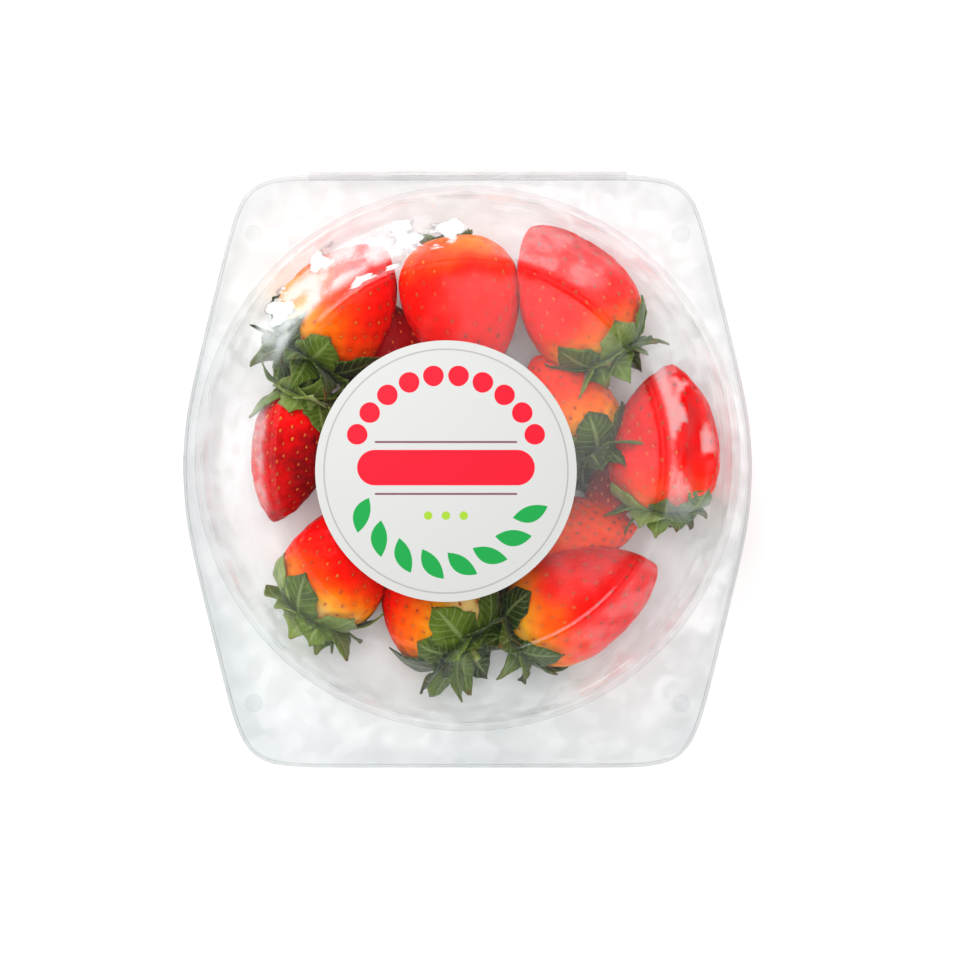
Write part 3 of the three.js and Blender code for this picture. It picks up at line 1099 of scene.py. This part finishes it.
    def _hinge(self, film: bpy.types.Material) -> bpy.types.Object:
        """Makes the rolled bead and its web along the back edge.

        Args:
            film: its material.

        Returns:
            The piece.
        """
        bm = bmesh.new()
        bmesh.ops.create_cone(bm, cap_ends=True, segments=20, radius1=self.hinge_radius,
                              radius2=self.hinge_radius, depth=self.hinge_length)
        ends = [edge for edge in bm.edges if abs(edge.verts[0].co.z - edge.verts[1].co.z) < 1e-4]
        bmesh.ops.bevel(bm, geom=ends, offset=self.hinge_round, offset_type="OFFSET", segments=3,
                        profile=0.5, affect="EDGES", material=-1)
        bmesh.ops.rotate(bm, verts=bm.verts, cent=(0, 0, 0), matrix=Matrix.Rotation(math.pi / 2, 3, "Y"))
        bmesh.ops.translate(bm, verts=bm.verts, vec=(0, self.hinge_y, self.hinge_z))
        web = bmesh.ops.create_cube(bm, size=1)["verts"]
        bmesh.ops.scale(bm, vec=(self.hinge_length - 1.2, self.web_width, self.wall * 0.6), verts=web)
        bmesh.ops.translate(bm, verts=web, vec=(0, self.hinge_y - self.web_width / 2, self.web_z))
        bmesh.ops.recalc_face_normals(bm, faces=bm.faces)
        return finished(bm, "hinge_bead", Body.LID, film)

    def _studs(self, film: bpy.types.Material) -> bpy.types.Object:
        """Makes the four low press studs in the corners of the flange.

        Args:
            film: their material.

        Returns:
            The piece.
        """
        bm = bmesh.new()
        height = self.stud_rise + self.wall / 2
        middle = self.web_z + height / 2
        for side in (-1, 1):
            for end in (-1, 1):
                made = bmesh.ops.create_cone(
                    bm, cap_ends=True, segments=28, radius1=self.stud_radius,
                    radius2=self.stud_radius - self.stud_taper, depth=height)["verts"]
                bmesh.ops.translate(bm, verts=made, vec=(
                    side * self.stud_places[0], end * self.stud_places[1], middle))
        rims = [edge for edge in bm.edges if min(v.co.z for v in edge.verts) > middle and
                len(edge.link_faces) == 2 and edge.calc_face_angle() > 0.9]
        bmesh.ops.bevel(bm, geom=rims, offset=self.stud_round, offset_type="OFFSET", segments=4,
                        profile=0.5, affect="EDGES", material=-1)
        return finished(bm, "lid_studs", Body.LID, film)


@dataclass
class Label:
    """The round paper label on the lid's panel."""

    radius: float = 36.8
    thickness: float = 0.3
    base: float = 48.15
    sides: int = 160
    edge: float = 0.07
    finish: PrintedPaper = field(default_factory=PrintedPaper)

    def build(self) -> list[bpy.types.Object]:
        """Builds the label.

        Returns:
            Its one piece.
        """
        bm = bmesh.new()
        bmesh.ops.create_circle(bm, cap_ends=True, segments=self.sides, radius=self.radius)
        grown = bmesh.ops.extrude_face_region(bm, geom=bm.faces[:])["geom"]
        top = [part for part in grown if isinstance(part, bmesh.types.BMVert)]
        bmesh.ops.translate(bm, verts=top, vec=(0, 0, self.thickness))
        rims = [edge for edge in bm.edges if edge.calc_length() > self.thickness * 1.5 or
                abs(edge.verts[0].co.z - edge.verts[1].co.z) < 1e-5]
        bmesh.ops.bevel(bm, geom=rims, offset=self.edge, offset_type="OFFSET", segments=2,
                        profile=0.5, affect="EDGES", material=-1)
        bmesh.ops.recalc_face_normals(bm, faces=bm.faces)
        bmesh.ops.translate(bm, verts=bm.verts, vec=(*self.finish.centre, self.base))
        piece = finished(bm, "label_disc", Body.LID, self.finish.material())
        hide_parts("label")
        return [piece]


@dataclass(frozen=True)
class Room:
    """The space that the berries may fill, inside the tray and under the dome."""

    low: float = 3.45
    high: float = 40.6
    foot: float = 62.9
    wall: float = 73.4
    wall_from: float = 25.5
    step: float = 30.1
    dome_low: float = 66.8
    dome_high: float = 59.8

    def held(self, place: Vector, inset: float = 0.0) -> Vector:
        """Presses a point back into the room where it stands out.

        Args:
            place: the point.
            inset: how far inside the room's skin it stays.

        Returns:
            The point, moved as little as need be.
        """
        z = clamp(place.z, self.low + inset, self.high - inset)
        x, y = place.x, place.y - OUTLINE.axis_y
        r = math.hypot(x, y)
        if z < self.wall_from:
            limit = self.foot + (self.wall - self.foot) * (z - self.low) / (self.wall_from - self.low)
        elif z <= self.step:
            limit = self.wall
        else:
            limit = self._under_dome(z)
            if r > limit and z - self.step < (r - limit) and r < self.wall:
                return Vector((place.x, place.y, self.step - inset))
        limit -= inset
        if r > limit:
            x, y = x * limit / r, y * limit / r
        return Vector((x, y + OUTLINE.axis_y, z))

    def _under_dome(self, z: float) -> float:
        """The dome's inner radius at a height."""
        share = (z - self.step) / (self.high - self.step)
        return self.dome_low + (self.dome_high - self.dome_low) * share


ROOM = Room()


@dataclass(frozen=True)
class Berry:
    """One berry: its place, aim and size, and how it ripens from cap to tip.

    The ripening runs along the fruit from `cap` to `tip`, reaching it at `full` of the
    length, and grows by `lean_gain` towards the direction `lean`, in degrees in plan.
    Its leaves are `leaf` times as large as the usual ones. For the bare berries and those low in
    the heap, the deep red of a high `cap` and `tip` is painted shade.
    """

    at: tuple[float, float, float]
    heading: float
    pitch: float
    length: float
    width: float
    cap: float = 0.3
    tip: float = 0.85
    full: float = 0.6
    lean: float = 0.0
    lean_gain: float = 0.0
    leaf_tone: float = 0.45
    leaf: float = 1.0
    bare: bool = False
    rings: int = 72
    sides: int = 88
    seeds: int = 190

    def frame(self, number: int) -> Matrix:
        """The matrix that sets the upright fruit down in its place.

        Args:
            number: the berry's number in the heap, which turns it about itself.

        Returns:
            A 4 by 4 matrix, in millimetres.
        """
        return (Matrix.Translation(self.at)
                @ Matrix.Rotation(math.radians(self.heading), 4, "Z")
                @ Matrix.Rotation(-math.radians(self.pitch), 4, "Y")
                @ Matrix.Rotation(number * 1.3, 4, "X")
                @ Matrix.Rotation(-math.pi / 2, 4, "Z"))


@dataclass(frozen=True)
class FruitForm:
    """The shape that every berry shares: a plump cone, flat at its cap."""

    shoulder: float = 0.3
    flatness: float = 0.72
    taper: float = 1.9
    fall: float = 0.7
    dish: float = 0.03
    dish_share: float = 0.1
    oval: float = 0.035
    lobes: float = 0.02

    def radius(self, share: float) -> float:
        """The fruit's radius at a share of its length, as a share of the greatest."""
        if share < self.shoulder:
            back = (self.shoulder - share) / self.shoulder
            return math.sqrt(1 - self.flatness * back * back)
        on = clamp((share - self.shoulder) / (1 - self.shoulder))
        return (1 - on ** self.taper) ** self.fall

    def swell(self, angle: float, number: int) -> float:
        """How far the fruit stands out of round in a direction."""
        return 1 + self.oval * math.cos(2 * angle + number) + self.lobes * math.cos(3 * angle - number)

    def point(self, berry: Berry, number: int, share: float, angle: float) -> Vector:
        """A point on the fruit's side.

        Args:
            berry: the berry.
            number: its number in the heap.
            share: the share of its length from the cap.
            angle: the direction about its own axis.

        Returns:
            The point in the fruit's own frame, with its tip up +Y.
        """
        r = berry.width / 2 * self.radius(share) * self.swell(angle, number)
        return Vector((r * math.cos(angle), (share - 0.5) * berry.length, r * math.sin(angle)))

    def dished(self, berry: Berry, number: int, inner: float, angle: float) -> Vector:
        """A point in the dish under the cap.

        Args:
            berry: the berry.
            number: its number in the heap.
            inner: how far out it lies, from 0 in the middle to 1 at the dish's edge.
            angle: the direction about its own axis.

        Returns:
            The point in the fruit's own frame.
        """
        edge = self.point(berry, number, 0, angle)
        rise = self.dish * berry.length * (1 - inner ** 2)
        return Vector((edge.x * inner, edge.y + rise, edge.z * inner))


FORM = FruitForm()


BERRIES: tuple[Berry, ...] = (
    Berry((-35.5, 48.3, 20.5), 55, -6, 39, 33, 0.26, 0.66, 0.85, -20, 0.24, 0.25, 1.3),
    Berry((-1.5, 44.5, 22), -80, 8, 43, 36, 0.34, 0.74, 0.42, 215, 0.05, 0.2, 0.55),
    Berry((29.3, 51.5, 21), 121, 4, 43, 33.5, 0.2, 0.8, 0.5, 100, 0.1, 0.45, 1.25),
    Berry((57.6, 9.5, 21.5), 86, 6, 41.5, 33, 0.4, 0.86, 0.5, 140, 0.02, 0.45, 1.05),
    Berry((27.6, 18.5, 17.5), 119, -8, 33, 29, 0.12, 0.58, 0.75, 0, 0.0, 0.2, 1.4),
    Berry((32, -18.5, 14.5), 4, 0, 35, 22, 0.4, 0.46, 0.5, 0, 0.0, 0.2, 0.8),
    Berry((34.3, -37.3, 20.5), 24, 6, 45, 34, 0.17, 0.82, 0.65, 60, 0.06, 0.2, 1.25),
    Berry((-10.5, -37, 20), 128, -18, 37, 33, 0.04, 0.9, 1.2, 170, 0.32, 0.2, 1.3),
    Berry((-35.3, -25.4, 20.5), 60, 8, 38, 32, 0.08, 0.8, 0.66, 80, 0.05, 0.5, 1.25),
    Berry((-51.5, 2.7, 20.5), -105, -8, 38, 24, 0.76, 0.95, 0.3, 0, 0.06, 0.5, 1.0),
    # The bare berries' deep red is painted shade.
    Berry((-21, 31, 15), 105, 0, 37, 30, 0.92, 1.05, 0.5, bare=True, rings=40, sides=52),
    Berry((-23, 10, 25), 160, -4, 38, 31, 0.8, 1.0, 0.5, bare=True, rings=40, sides=52),
    Berry((7, -10, 25), -28, 4, 40, 31, 0.8, 1.0, 0.5, bare=True, rings=40, sides=52),
)
# The berries low in the heap are deep red as painted shade.
UNDER_BERRIES: tuple[Berry, ...] = (
    Berry((2, 24, 12.6), 20, 0, 27, 19, 0.9, 1.05, bare=True, rings=30, sides=40, seeds=110),
    Berry((-22, 22, 11.8), 140, 0, 26, 17, 0.9, 1.05, bare=True, rings=30, sides=40, seeds=110),
    Berry((-25, -6, 12.2), 250, 0, 27, 18, 0.9, 1.05, bare=True, rings=30, sides=40, seeds=110),
    Berry((-6, 2, 12.4), 75, 0, 28, 18, 0.9, 1.05, bare=True, rings=30, sides=40, seeds=110),
    Berry((9, -24, 12), -20, 0, 25, 17, 0.9, 1.05, bare=True, rings=30, sides=40, seeds=110),
    Berry((18, 4, 12.4), 110, 0, 27, 18, 0.9, 1.05, bare=True, rings=30, sides=40, seeds=110),
    Berry((42, -4, 10.4), 80, 0, 22, 14, 0.9, 1.05, bare=True, rings=30, sides=40, seeds=90),
)


class Gathered:
    """One kind of piece, gathered from the small shapes of many berries."""

    def __init__(self, name: str) -> None:
        """Starts with nothing under the kind's name."""
        self.name = name
        self.total = bmesh.new()

    @contextmanager
    def part(self, *layers: str) -> Iterator[tuple[bmesh.types.BMesh, list]]:
        """Gives an empty shape, and adds what it holds at the end.

        Args:
            layers: the names of the numbers that its points carry.

        Yields:
            The shape and its layers.
        """
        bm = bmesh.new()
        yield bm, [bm.verts.layers.float.new(name) for name in layers]
        mesh = bpy.data.meshes.new("part")
        bm.to_mesh(mesh)
        bm.free()
        self.total.from_mesh(mesh)
        bpy.data.meshes.remove(mesh)


@dataclass
class Heap:
    """The berries in the tray: flesh, seeds, leaves and stalks, one piece of each kind."""

    berries: tuple[Berry, ...] = BERRIES + UNDER_BERRIES
    tip_crowding: float = 1.3
    pit_depth: float = 0.62
    pit_reach: float = 1.15
    seed_half: tuple[float, float, float] = (0.42, 0.68, 0.3)
    golden: float = math.pi * (3 - math.sqrt(5))
    sepals: int = 7
    clasping_sepals: int = 7
    trailing_sepals: int = 6
    least_trailing: float = 0.6
    least_clasp: float = 8.0
    sepal_root: float = 3.4
    sepal_length: float = 16.0
    sepal_half: float = 5.2
    sepal_thickness: float = 0.45
    stalk_radius: float = 1.3
    stalk_length: float = 7.0
    stalk_sunk: float = 2.0
    stalk_steps: int = 6

    def build(self) -> list[bpy.types.Object]:
        """Builds the heap.

        Returns:
            Its four pieces.
        """
        flesh, seeds, leaves, stalks = (Gathered(name) for name in ("flesh", "seeds", "leaves", "stalks"))
        for number, berry in enumerate(self.berries):
            rng = random.Random(100 + number)
            places = self._seed_places(berry, number, rng)
            with flesh.part("ripe_and_shade", "pit") as (bm, layers):
                self._flesh(bm, layers, berry, number, places)
            with seeds.part("tone") as (bm, layers):
                self._seeds(bm, layers[0], berry, number, places, rng)
            if berry.bare:
                continue
            with leaves.part("tone") as (bm, layers):
                leaf_map = bm.loops.layers.uv.new("leaf")
                self._cap(bm, (layers[0], leaf_map), berry, number, rng)
            with stalks.part() as (bm, _):
                self._stalk(bm, berry, number, rng)
        dressed = [(flesh, FruitSkin()), (seeds, SeedCoat()), (leaves, LeafSkin()), (stalks, StalkSkin())]
        pieces = [finished(kind.total, f"strawberry_{kind.name}", Body.TRAY,
                           finish.material()) for kind, finish in dressed]
        sheet = pieces[2].modifiers.new("thickness", "SOLIDIFY")
        sheet.thickness = self.sepal_thickness * MM
        sheet.offset = 0
        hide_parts("strawberries")
        return pieces

    def _seed_places(self, berry: Berry, number: int,
                     rng: random.Random) -> list[tuple[float, float]]:
        """Spreads the seeds evenly over the fruit along a spiral.

        Args:
            berry: the berry.
            number: its number in the heap.
            rng: the berry's own source of chance.

        Returns:
            Each seed's share of the length and direction.
        """
        slices = 200
        shares = [0.03 + 0.95 * i / slices for i in range(slices + 1)]
        areas = [0.0]
        for low, high in pairwise(shares):
            one, two = FORM.point(berry, 0, low, 0), FORM.point(berry, 0, high, 0)
            areas.append(areas[-1] + (one - two).length * (one.x + two.x))
        places = []
        for i in range(berry.seeds):
            target = (i + 0.5 + rng.uniform(-0.3, 0.3)) / berry.seeds * areas[-1]
            share = shares[min(bisect_left(areas, target), slices)]
            places.append((share, i * self.golden + number + rng.uniform(-0.06, 0.06)))
        return places

    def _flesh(self, bm: bmesh.types.BMesh, layers: tuple, berry: Berry, number: int,
               places: list[tuple[float, float]]) -> None:
        """Adds one berry's flesh, pitted where its seeds lie.

        Args:
            bm: the shape of all flesh.
            layers: its ripening and pit layers, which also carry painted shade.
            berry: the berry.
            number: its number in the heap.
            places: the seeds' shares and directions.
        """
        ripe_and_shade, pit = layers
        tree = kdtree.KDTree(len(places))
        for i, (share, angle) in enumerate(places):
            tree.insert(FORM.point(berry, number, share, angle), i)
        tree.balance()
        made = bmesh.ops.create_uvsphere(
            bm, u_segments=berry.sides, v_segments=berry.rings, radius=1)["verts"]
        place_of = berry.frame(number)
        lean = Vector((math.cos(math.radians(berry.lean)), math.sin(math.radians(berry.lean)), 0))
        for vert in made:
            depth = math.acos(clamp(-vert.co.z, -1, 1)) / math.pi
            angle = math.atan2(vert.co.y, vert.co.x)
            share = 0.0
            if depth < FORM.dish_share:
                point = FORM.dished(berry, number, depth / FORM.dish_share, angle)
            else:
                on = (depth - FORM.dish_share) / (1 - FORM.dish_share)
                share = 1 - (1 - on) ** self.tip_crowding
                point = FORM.point(berry, number, share, angle)
            _, _, near = tree.find(point)
            sunk = math.exp(-(near / self.pit_reach) ** 2) if share > 0.02 else 0.0
            outward = Vector((point.x, (share - 0.42) * berry.width * 0.55, point.z))
            outward = outward.normalized() if outward.length > 1e-6 else Vector((0, 1, 0))
            lumps = 0.35 * ripple(point, 11, number * 3.1) + 0.16 * ripple(point, 5, number * 1.7)
            if depth < FORM.dish_share or share > 0.985:
                lumps *= 0.2
            point += outward * (lumps - self.pit_depth * sunk)
            vert.co = ROOM.held(place_of @ point)
            side = (place_of.to_3x3() @ outward).dot(lean)
            grown = smooth(share + 0.1 * ripple(point, 9, number), 0.0, berry.full)
            vert[ripe_and_shade] = (berry.cap + (berry.tip - berry.cap) * grown + berry.lean_gain * side
                          + 0.06 * ripple(point, 14, number * 0.7))
            vert[pit] = sunk

    def _seeds(self, bm: bmesh.types.BMesh, tone: bmesh.types.BMLayerItem, berry: Berry, number: int,
               places: list[tuple[float, float]], rng: random.Random) -> None:
        """Adds one berry's seeds, each lying in its pit.

        Args:
            bm: the shape of all seeds.
            tone: its tone layer.
            berry: the berry.
            number: its number in the heap.
            places: the seeds' shares and directions.
            rng: the berry's own source of chance.
        """
        place_of = berry.frame(number)
        for share, angle in places:
            here = FORM.point(berry, number, share, angle)
            ahead = FORM.point(berry, number, min(share + 0.01, 1.0), angle)
            beside = FORM.point(berry, number, share, angle + 0.02)
            along = (ahead - here).normalized()
            across = (beside - here).normalized()
            out = across.cross(along).normalized()
            if out.dot(Vector((here.x, 0, here.z))) < 0:
                out.negate()
            turn = Matrix((across, along, out)).transposed().to_4x4()
            size = rng.uniform(0.85, 1.12)
            made = bmesh.ops.create_icosphere(bm, subdivisions=1, radius=1, matrix=(
                place_of @ Matrix.Translation(here - out * (self.pit_depth * 0.8)) @ turn
                @ Matrix.Diagonal((*(half * size for half in self.seed_half), 1))))["verts"]
            mark = 0.35 + 0.5 * clamp(share * 1.2) + rng.uniform(-0.22, 0.22)
            for vert in made:
                vert.co = ROOM.held(vert.co, 0.02)
                vert[tone] = mark

    def _cap(self, bm: bmesh.types.BMesh, layers: tuple, berry: Berry, number: int,
             rng: random.Random) -> None:
        """Adds one berry's cap: leaves that spread, that clasp the fruit and that trail behind it.

        Args:
            bm: the shape of the leaves.
            layers: its tone layer and leaf map.
            berry: the berry.
            number: its number in the heap.
            rng: the berry's own source of chance.
        """
        for i in range(self.sepals):
            around = i / self.sepals * 2 * math.pi + number
            length = self.sepal_length * berry.leaf * (0.88 + 0.14 * math.cos(3 * i + number))
            curl = 0.16 + 0.3 * math.sin(2.3 * i + number * 1.7) ** 2
            self._sepal(bm, layers, berry, number, around, length, rng, self._curled(berry, length, curl))
        for i in range(self.clasping_sepals):
            around = (i + 0.5 + rng.uniform(-0.2, 0.2)) / self.clasping_sepals * 2 * math.pi + number
            length = max(rng.uniform(12, 19) * (berry.leaf * 1.4 - 0.4), self.least_clasp)
            self._sepal(bm, layers, berry, number, around, length, rng,
                        self._clasping(berry, length, rng.uniform(0.3, 2.8)))
        for i in range(self.trailing_sepals if berry.leaf > self.least_trailing else 0):
            around = (i + rng.uniform(0.2, 0.8)) / self.trailing_sepals * 2 * math.pi + number
            length = rng.uniform(8, 11) * berry.leaf
            self._sepal(bm, layers, berry, number, around, length, rng,
                        self._curled(berry, length, rng.uniform(0.55, 0.95)))

    def _curled(self, berry: Berry, length: float, curl: float) -> Callable[[float], tuple[float, float]]:
        """The line of a leaf that leaves the cap and curls back, away from the fruit.

        Args:
            berry: the berry.
            length: the leaf's reach from the axis.
            curl: how far it bends back.

        Returns:
            A function from the share along the leaf to its distances off and along the axis.
        """
        def line(along: float) -> tuple[float, float]:
            """The leaf's place at a share of its length."""
            out = self.sepal_root + (length - self.sepal_root) * along
            drop = curl * length * along * along + 0.55 * math.sin(5 * along)
            return out, 0.1 - berry.length / 2 - drop
        return line

    def _clasping(self, berry: Berry, length: float, lift: float) -> Callable[[float], tuple[float, float]]:
        """The line of a leaf that lies over the fruit's shoulder.

        Args:
            berry: the berry.
            length: the leaf's length.
            lift: how far its tip stands off the fruit.

        Returns:
            A function from the share along the leaf to its distances off and along the axis.
        """
        rim = berry.width / 2 * FORM.radius(0)

        def line(along: float) -> tuple[float, float]:
            """The leaf's place at a share of its length."""
            gone = self.sepal_root + (length - self.sepal_root) * along
            if gone < rim:
                return gone, -0.75 - berry.length / 2
            share = (gone - rim) / (berry.length * 1.25)
            off = 0.75 + lift * along ** 3
            return berry.width / 2 * FORM.radius(share) + off, (share - 0.5) * berry.length - 0.5
        return line

    def _sepal(self, bm: bmesh.types.BMesh, layers: tuple, berry: Berry, number: int, around: float,
               length: float, rng: random.Random, line: Callable[[float], tuple[float, float]]) -> None:
        """Adds one leaf of a cap as a curved sheet.

        Args:
            bm: the shape of the leaves.
            layers: its tone layer and leaf map.
            berry: the berry.
            number: its number in the heap.
            around: the leaf's direction about the fruit's axis.
            length: its reach.
            rng: the berry's own source of chance.
            line: its distances off and along the axis at a share of its length.
        """
        tone, leaf_map = layers
        place_of = berry.frame(number)
        made = bmesh.ops.create_grid(bm, x_segments=14, y_segments=6, size=0.5)["verts"]
        own = rng.uniform(0, 50)
        shade = clamp(berry.leaf_tone + rng.uniform(-0.25, 0.3))
        width = self.sepal_half * (1 + berry.leaf) / 2 * rng.uniform(0.85, 1.2)
        twist = rng.uniform(-0.5, 0.5)
        marks = {}
        for vert in made:
            along, across = vert.co.x + 0.5, vert.co.y * 2
            marks[vert] = (along, across / 2 + 0.5)
            half = width * max(math.sin(math.pi * (0.16 + 0.84 * along ** 1.15)), 0.07)
            half *= 1 + 0.1 * math.sin(along * 23 + own) * abs(across)
            out, height = line(along)
            wave = 0.5 * abs(across) ** 1.5 * math.sin(9 * along + own)
            fold = 0.8 * abs(across) * half / width * (1 - along * 0.4)
            side = across * half + twist * along * along * 2.2
            height += twist * across * along * 1.6 - wave + fold
            turned = Vector((out * math.cos(around) - side * math.sin(around), height,
                             -out * math.sin(around) - side * math.cos(around)))
            vert.co = ROOM.held(place_of @ turned, 0.55)
            vert[tone] = shade + 0.12 * ripple(turned, 5, own)
        for face in {face for vert in made for face in vert.link_faces}:
            for loop in face.loops:
                loop[leaf_map].uv = marks[loop.vert]

    def _stalk(self, bm: bmesh.types.BMesh, berry: Berry, number: int, rng: random.Random) -> None:
        """Adds one berry's cut stalk, slightly bent and tapered.

        Args:
            bm: the shape of all stalks.
            berry: the berry.
            number: its number in the heap.
            rng: the berry's own source of chance.
        """
        ring = bmesh.ops.create_circle(
            bm, cap_ends=True, segments=12, radius=self.stalk_radius)["verts"]
        face = ring[0].link_faces[0]
        bend = rng.uniform(-0.9, 0.9)
        place_of = berry.frame(number)
        rings = [ring]
        for _ in range(self.stalk_steps):
            grown = bmesh.ops.extrude_face_region(bm, geom=[face])["geom"]
            rings.append([part for part in grown if isinstance(part, bmesh.types.BMVert)])
            face = next(part for part in grown if isinstance(part, bmesh.types.BMFace))
        for step, ring in enumerate(rings):
            along = step / self.stalk_steps
            for vert in ring:
                point = Vector((vert.co.x * (1 - 0.2 * along) + bend * along * along,
                                self.stalk_sunk - berry.length / 2 - along * self.stalk_length,
                                vert.co.y * (1 - 0.2 * along) + bend * 0.6 * along))
                vert.co = ROOM.held(place_of @ point, 0.05)


@dataclass(frozen=True)
class SoftLight:
    """A soft light round the pack: its direction in degrees, distance, size and brightness.

    Its size is in metres, and it faces a point over the middle of the pack's base.
    """

    name: str
    turn: float
    rise: float
    far: float
    size: tuple[float, float]
    radiance: float
    faces: float

    def at(self) -> Vector:
        """Its place in metres."""
        turn, rise = math.radians(self.turn), math.radians(self.rise)
        return Vector((math.cos(turn) * math.cos(rise), math.sin(turn) * math.cos(rise),
                       math.sin(rise))) * self.far


@dataclass
class Studio:
    """The pale floor, the soft lights and the camera above the pack."""

    aim: tuple[float, float] = (3.571, -3.286)
    height: float = 1033.0
    rim: float = 33.0
    seen_width: float = 274.3
    sensor: float = 36.0
    floor_half: float = 6.0
    floor_drop: float = 0.2
    sky_strength: float = 0.83
    sky: tuple[tuple[float, Colour], ...] = (
        (0.0, (0.86, 0.86, 0.87)), (0.62, (0.98, 0.98, 0.98)), (0.86, (0.7, 0.7, 0.7)),
        (0.955, (0.12, 0.12, 0.12)), (1.0, (0.03, 0.03, 0.03)))
    key: SoftLight = SoftLight("key", 122, 48, 1.2, (0.4, 0.4), 5.4, 0.02)
    side: SoftLight = SoftLight("side", 124, 22, 1.0, (0.5, 0.3), 5.0, 0.03)
    top_at: tuple[float, float, float] = (-0.07, 0.09, 1.35)
    top_side: float = 0.7
    top_radiance: float = 7.0
    veil_from: tuple[float, float] = (-10.7, 56.7)
    veil_to: tuple[float, float] = (35.0, -49.0)
    veil_size: tuple[float, float] = (48.0, 112.0)
    veil_above: float = 1.5
    veil_radiance: float = 1.75
    panel_height: float = 48.0

    def build(self) -> None:
        """Builds the whole studio."""
        self._floor()
        self._sky()
        self._soft_lights()
        self._panel_light()
        self._camera()
        scene = bpy.context.scene
        scene.view_settings.view_transform = "Standard"
        scene.view_settings.look = "None"
        scene.cycles.transparent_max_bounces = 32
        scene.cycles.max_bounces = 6
        scene.cycles.diffuse_bounces = 2
        scene.cycles.glossy_bounces = 2

    def _floor(self) -> None:
        """Lays the plain pale floor."""
        bm = bmesh.new()
        bmesh.ops.create_grid(bm, x_segments=1, y_segments=1, size=self.floor_half)
        mesh = bpy.data.meshes.new("floor")
        bm.to_mesh(mesh)
        bm.free()
        make = Recipe("floor_white")
        shade = make.blend(make.grain(90, 2.0), (0.88, 0.88, 0.88), (0.89, 0.89, 0.89))
        mesh.materials.append(make.done(make.surface(Base_Color=shade, Roughness=0.9)))
        floor = bpy.data.objects.new("floor", mesh)
        floor.location.z = -self.floor_drop * MM
        bpy.context.scene.collection.objects.link(floor)

    def _sky(self) -> None:
        """Surrounds the pack with soft light that is dim straight overhead."""
        world = bpy.data.worlds.new("tent")
        world.use_nodes = True
        tree = world.node_tree
        tree.nodes.clear()
        place = tree.nodes.new("ShaderNodeTexCoord")
        parts = tree.nodes.new("ShaderNodeSeparateXYZ")
        ramp = tree.nodes.new("ShaderNodeValToRGB")
        background = tree.nodes.new("ShaderNodeBackground")
        output = tree.nodes.new("ShaderNodeOutputWorld")
        Recipe.set_stops(ramp.color_ramp, self.sky)
        tree.links.new(place.outputs["Generated"], parts.inputs[0])
        tree.links.new(parts.outputs["Z"], ramp.inputs["Fac"])
        tree.links.new(ramp.outputs["Color"], background.inputs["Color"])
        tree.links.new(background.outputs[0], output.inputs["Surface"])
        background.inputs["Strength"].default_value = self.sky_strength
        bpy.context.scene.world = world

    def _lamp(self, name: str, at: Vector, target: Vector, size: tuple[float, float],
              radiance: float, roll: float = 0.0) -> bpy.types.Object:
        """Hangs one rectangular soft light, which the camera doesn't see.

        Args:
            name: its name.
            at: its place in metres.
            target: the point that it faces.
            size: its width and height in metres.
            radiance: its brightness.
            roll: its turn about its own axis, in radians.

        Returns:
            The light's object.
        """
        data = bpy.data.lights.new(name, "AREA")
        data.shape = "RECTANGLE"
        data.size, data.size_y = size
        data.energy = radiance * math.pi * size[0] * size[1]
        lamp = bpy.data.objects.new(name, data)
        lamp.location = at
        aim = (target - at).to_track_quat("-Z", "Y").to_matrix().to_4x4()
        lamp.rotation_euler = (aim @ Matrix.Rotation(roll, 4, "Z")).to_euler()
        lamp.visible_camera = False
        bpy.context.scene.collection.objects.link(lamp)
        return lamp

    def _soft_lights(self) -> None:
        """Hangs the main light, one overhead, and a low one that the dome's crumpled side mirrors."""
        self._lamp(self.key.name, self.key.at(), Vector((0, 0, self.key.faces)), self.key.size,
                   self.key.radiance)
        top = self._lamp("top", Vector(self.top_at), Vector((0, 0, self.key.faces)),
                         (self.top_side, self.top_side), self.top_radiance)
        top.visible_glossy = False
        self._lamp(self.side.name, self.side.at(), Vector((0, 0, self.side.faces)), self.side.size,
                   self.side.radiance)

    def _panel_light(self) -> None:
        """Hangs the light that the lid's flat panel mirrors as a veil over its right part."""
        panel = self.panel_height * MM
        grow = 1 + self.veil_above / (self.height * MM - panel)
        edge_from, edge_to = Vector(self.veil_from), Vector(self.veil_to)
        along = (edge_to - edge_from).normalized()
        off = Vector((-along.y, along.x))
        width, length = self.veil_size
        middle = (edge_from + edge_to) / 2 + off * (width / 2)
        foot = Vector(self.aim)
        spot = (foot + (middle - foot) * grow) * MM
        at = Vector((spot.x, spot.y, self.veil_above + panel))
        roll = math.atan2(along.y, along.x) - math.pi / 2
        self._lamp("panel_light", at, at - Vector((0, 0, 1)), (width * grow * MM, length * grow * MM),
                   self.veil_radiance, roll)

    def _camera(self) -> None:
        """Places the camera straight above, at the photograph's angle."""
        data = bpy.data.cameras.new("camera")
        data.sensor_width = self.sensor
        data.lens = self.sensor * (self.height - self.rim) / self.seen_width
        camera = bpy.data.objects.new("camera", data)
        camera.location = (self.aim[0] * MM, self.aim[1] * MM, self.height * MM)
        bpy.context.scene.collection.objects.link(camera)
        bpy.context.scene.camera = camera


def main() -> None:
    """Builds the punnet, its contents and its studio."""
    logging.basicConfig(level=logging.INFO, format="%(name)s: %(message)s")
    for part in (Tray(), Lid(), Label(), Heap()):
        for piece in part.build():
            LOG.info("%s has %d faces", piece.name, len(piece.data.polygons))
    Studio().build()


if __name__ == "__main__":
    main()
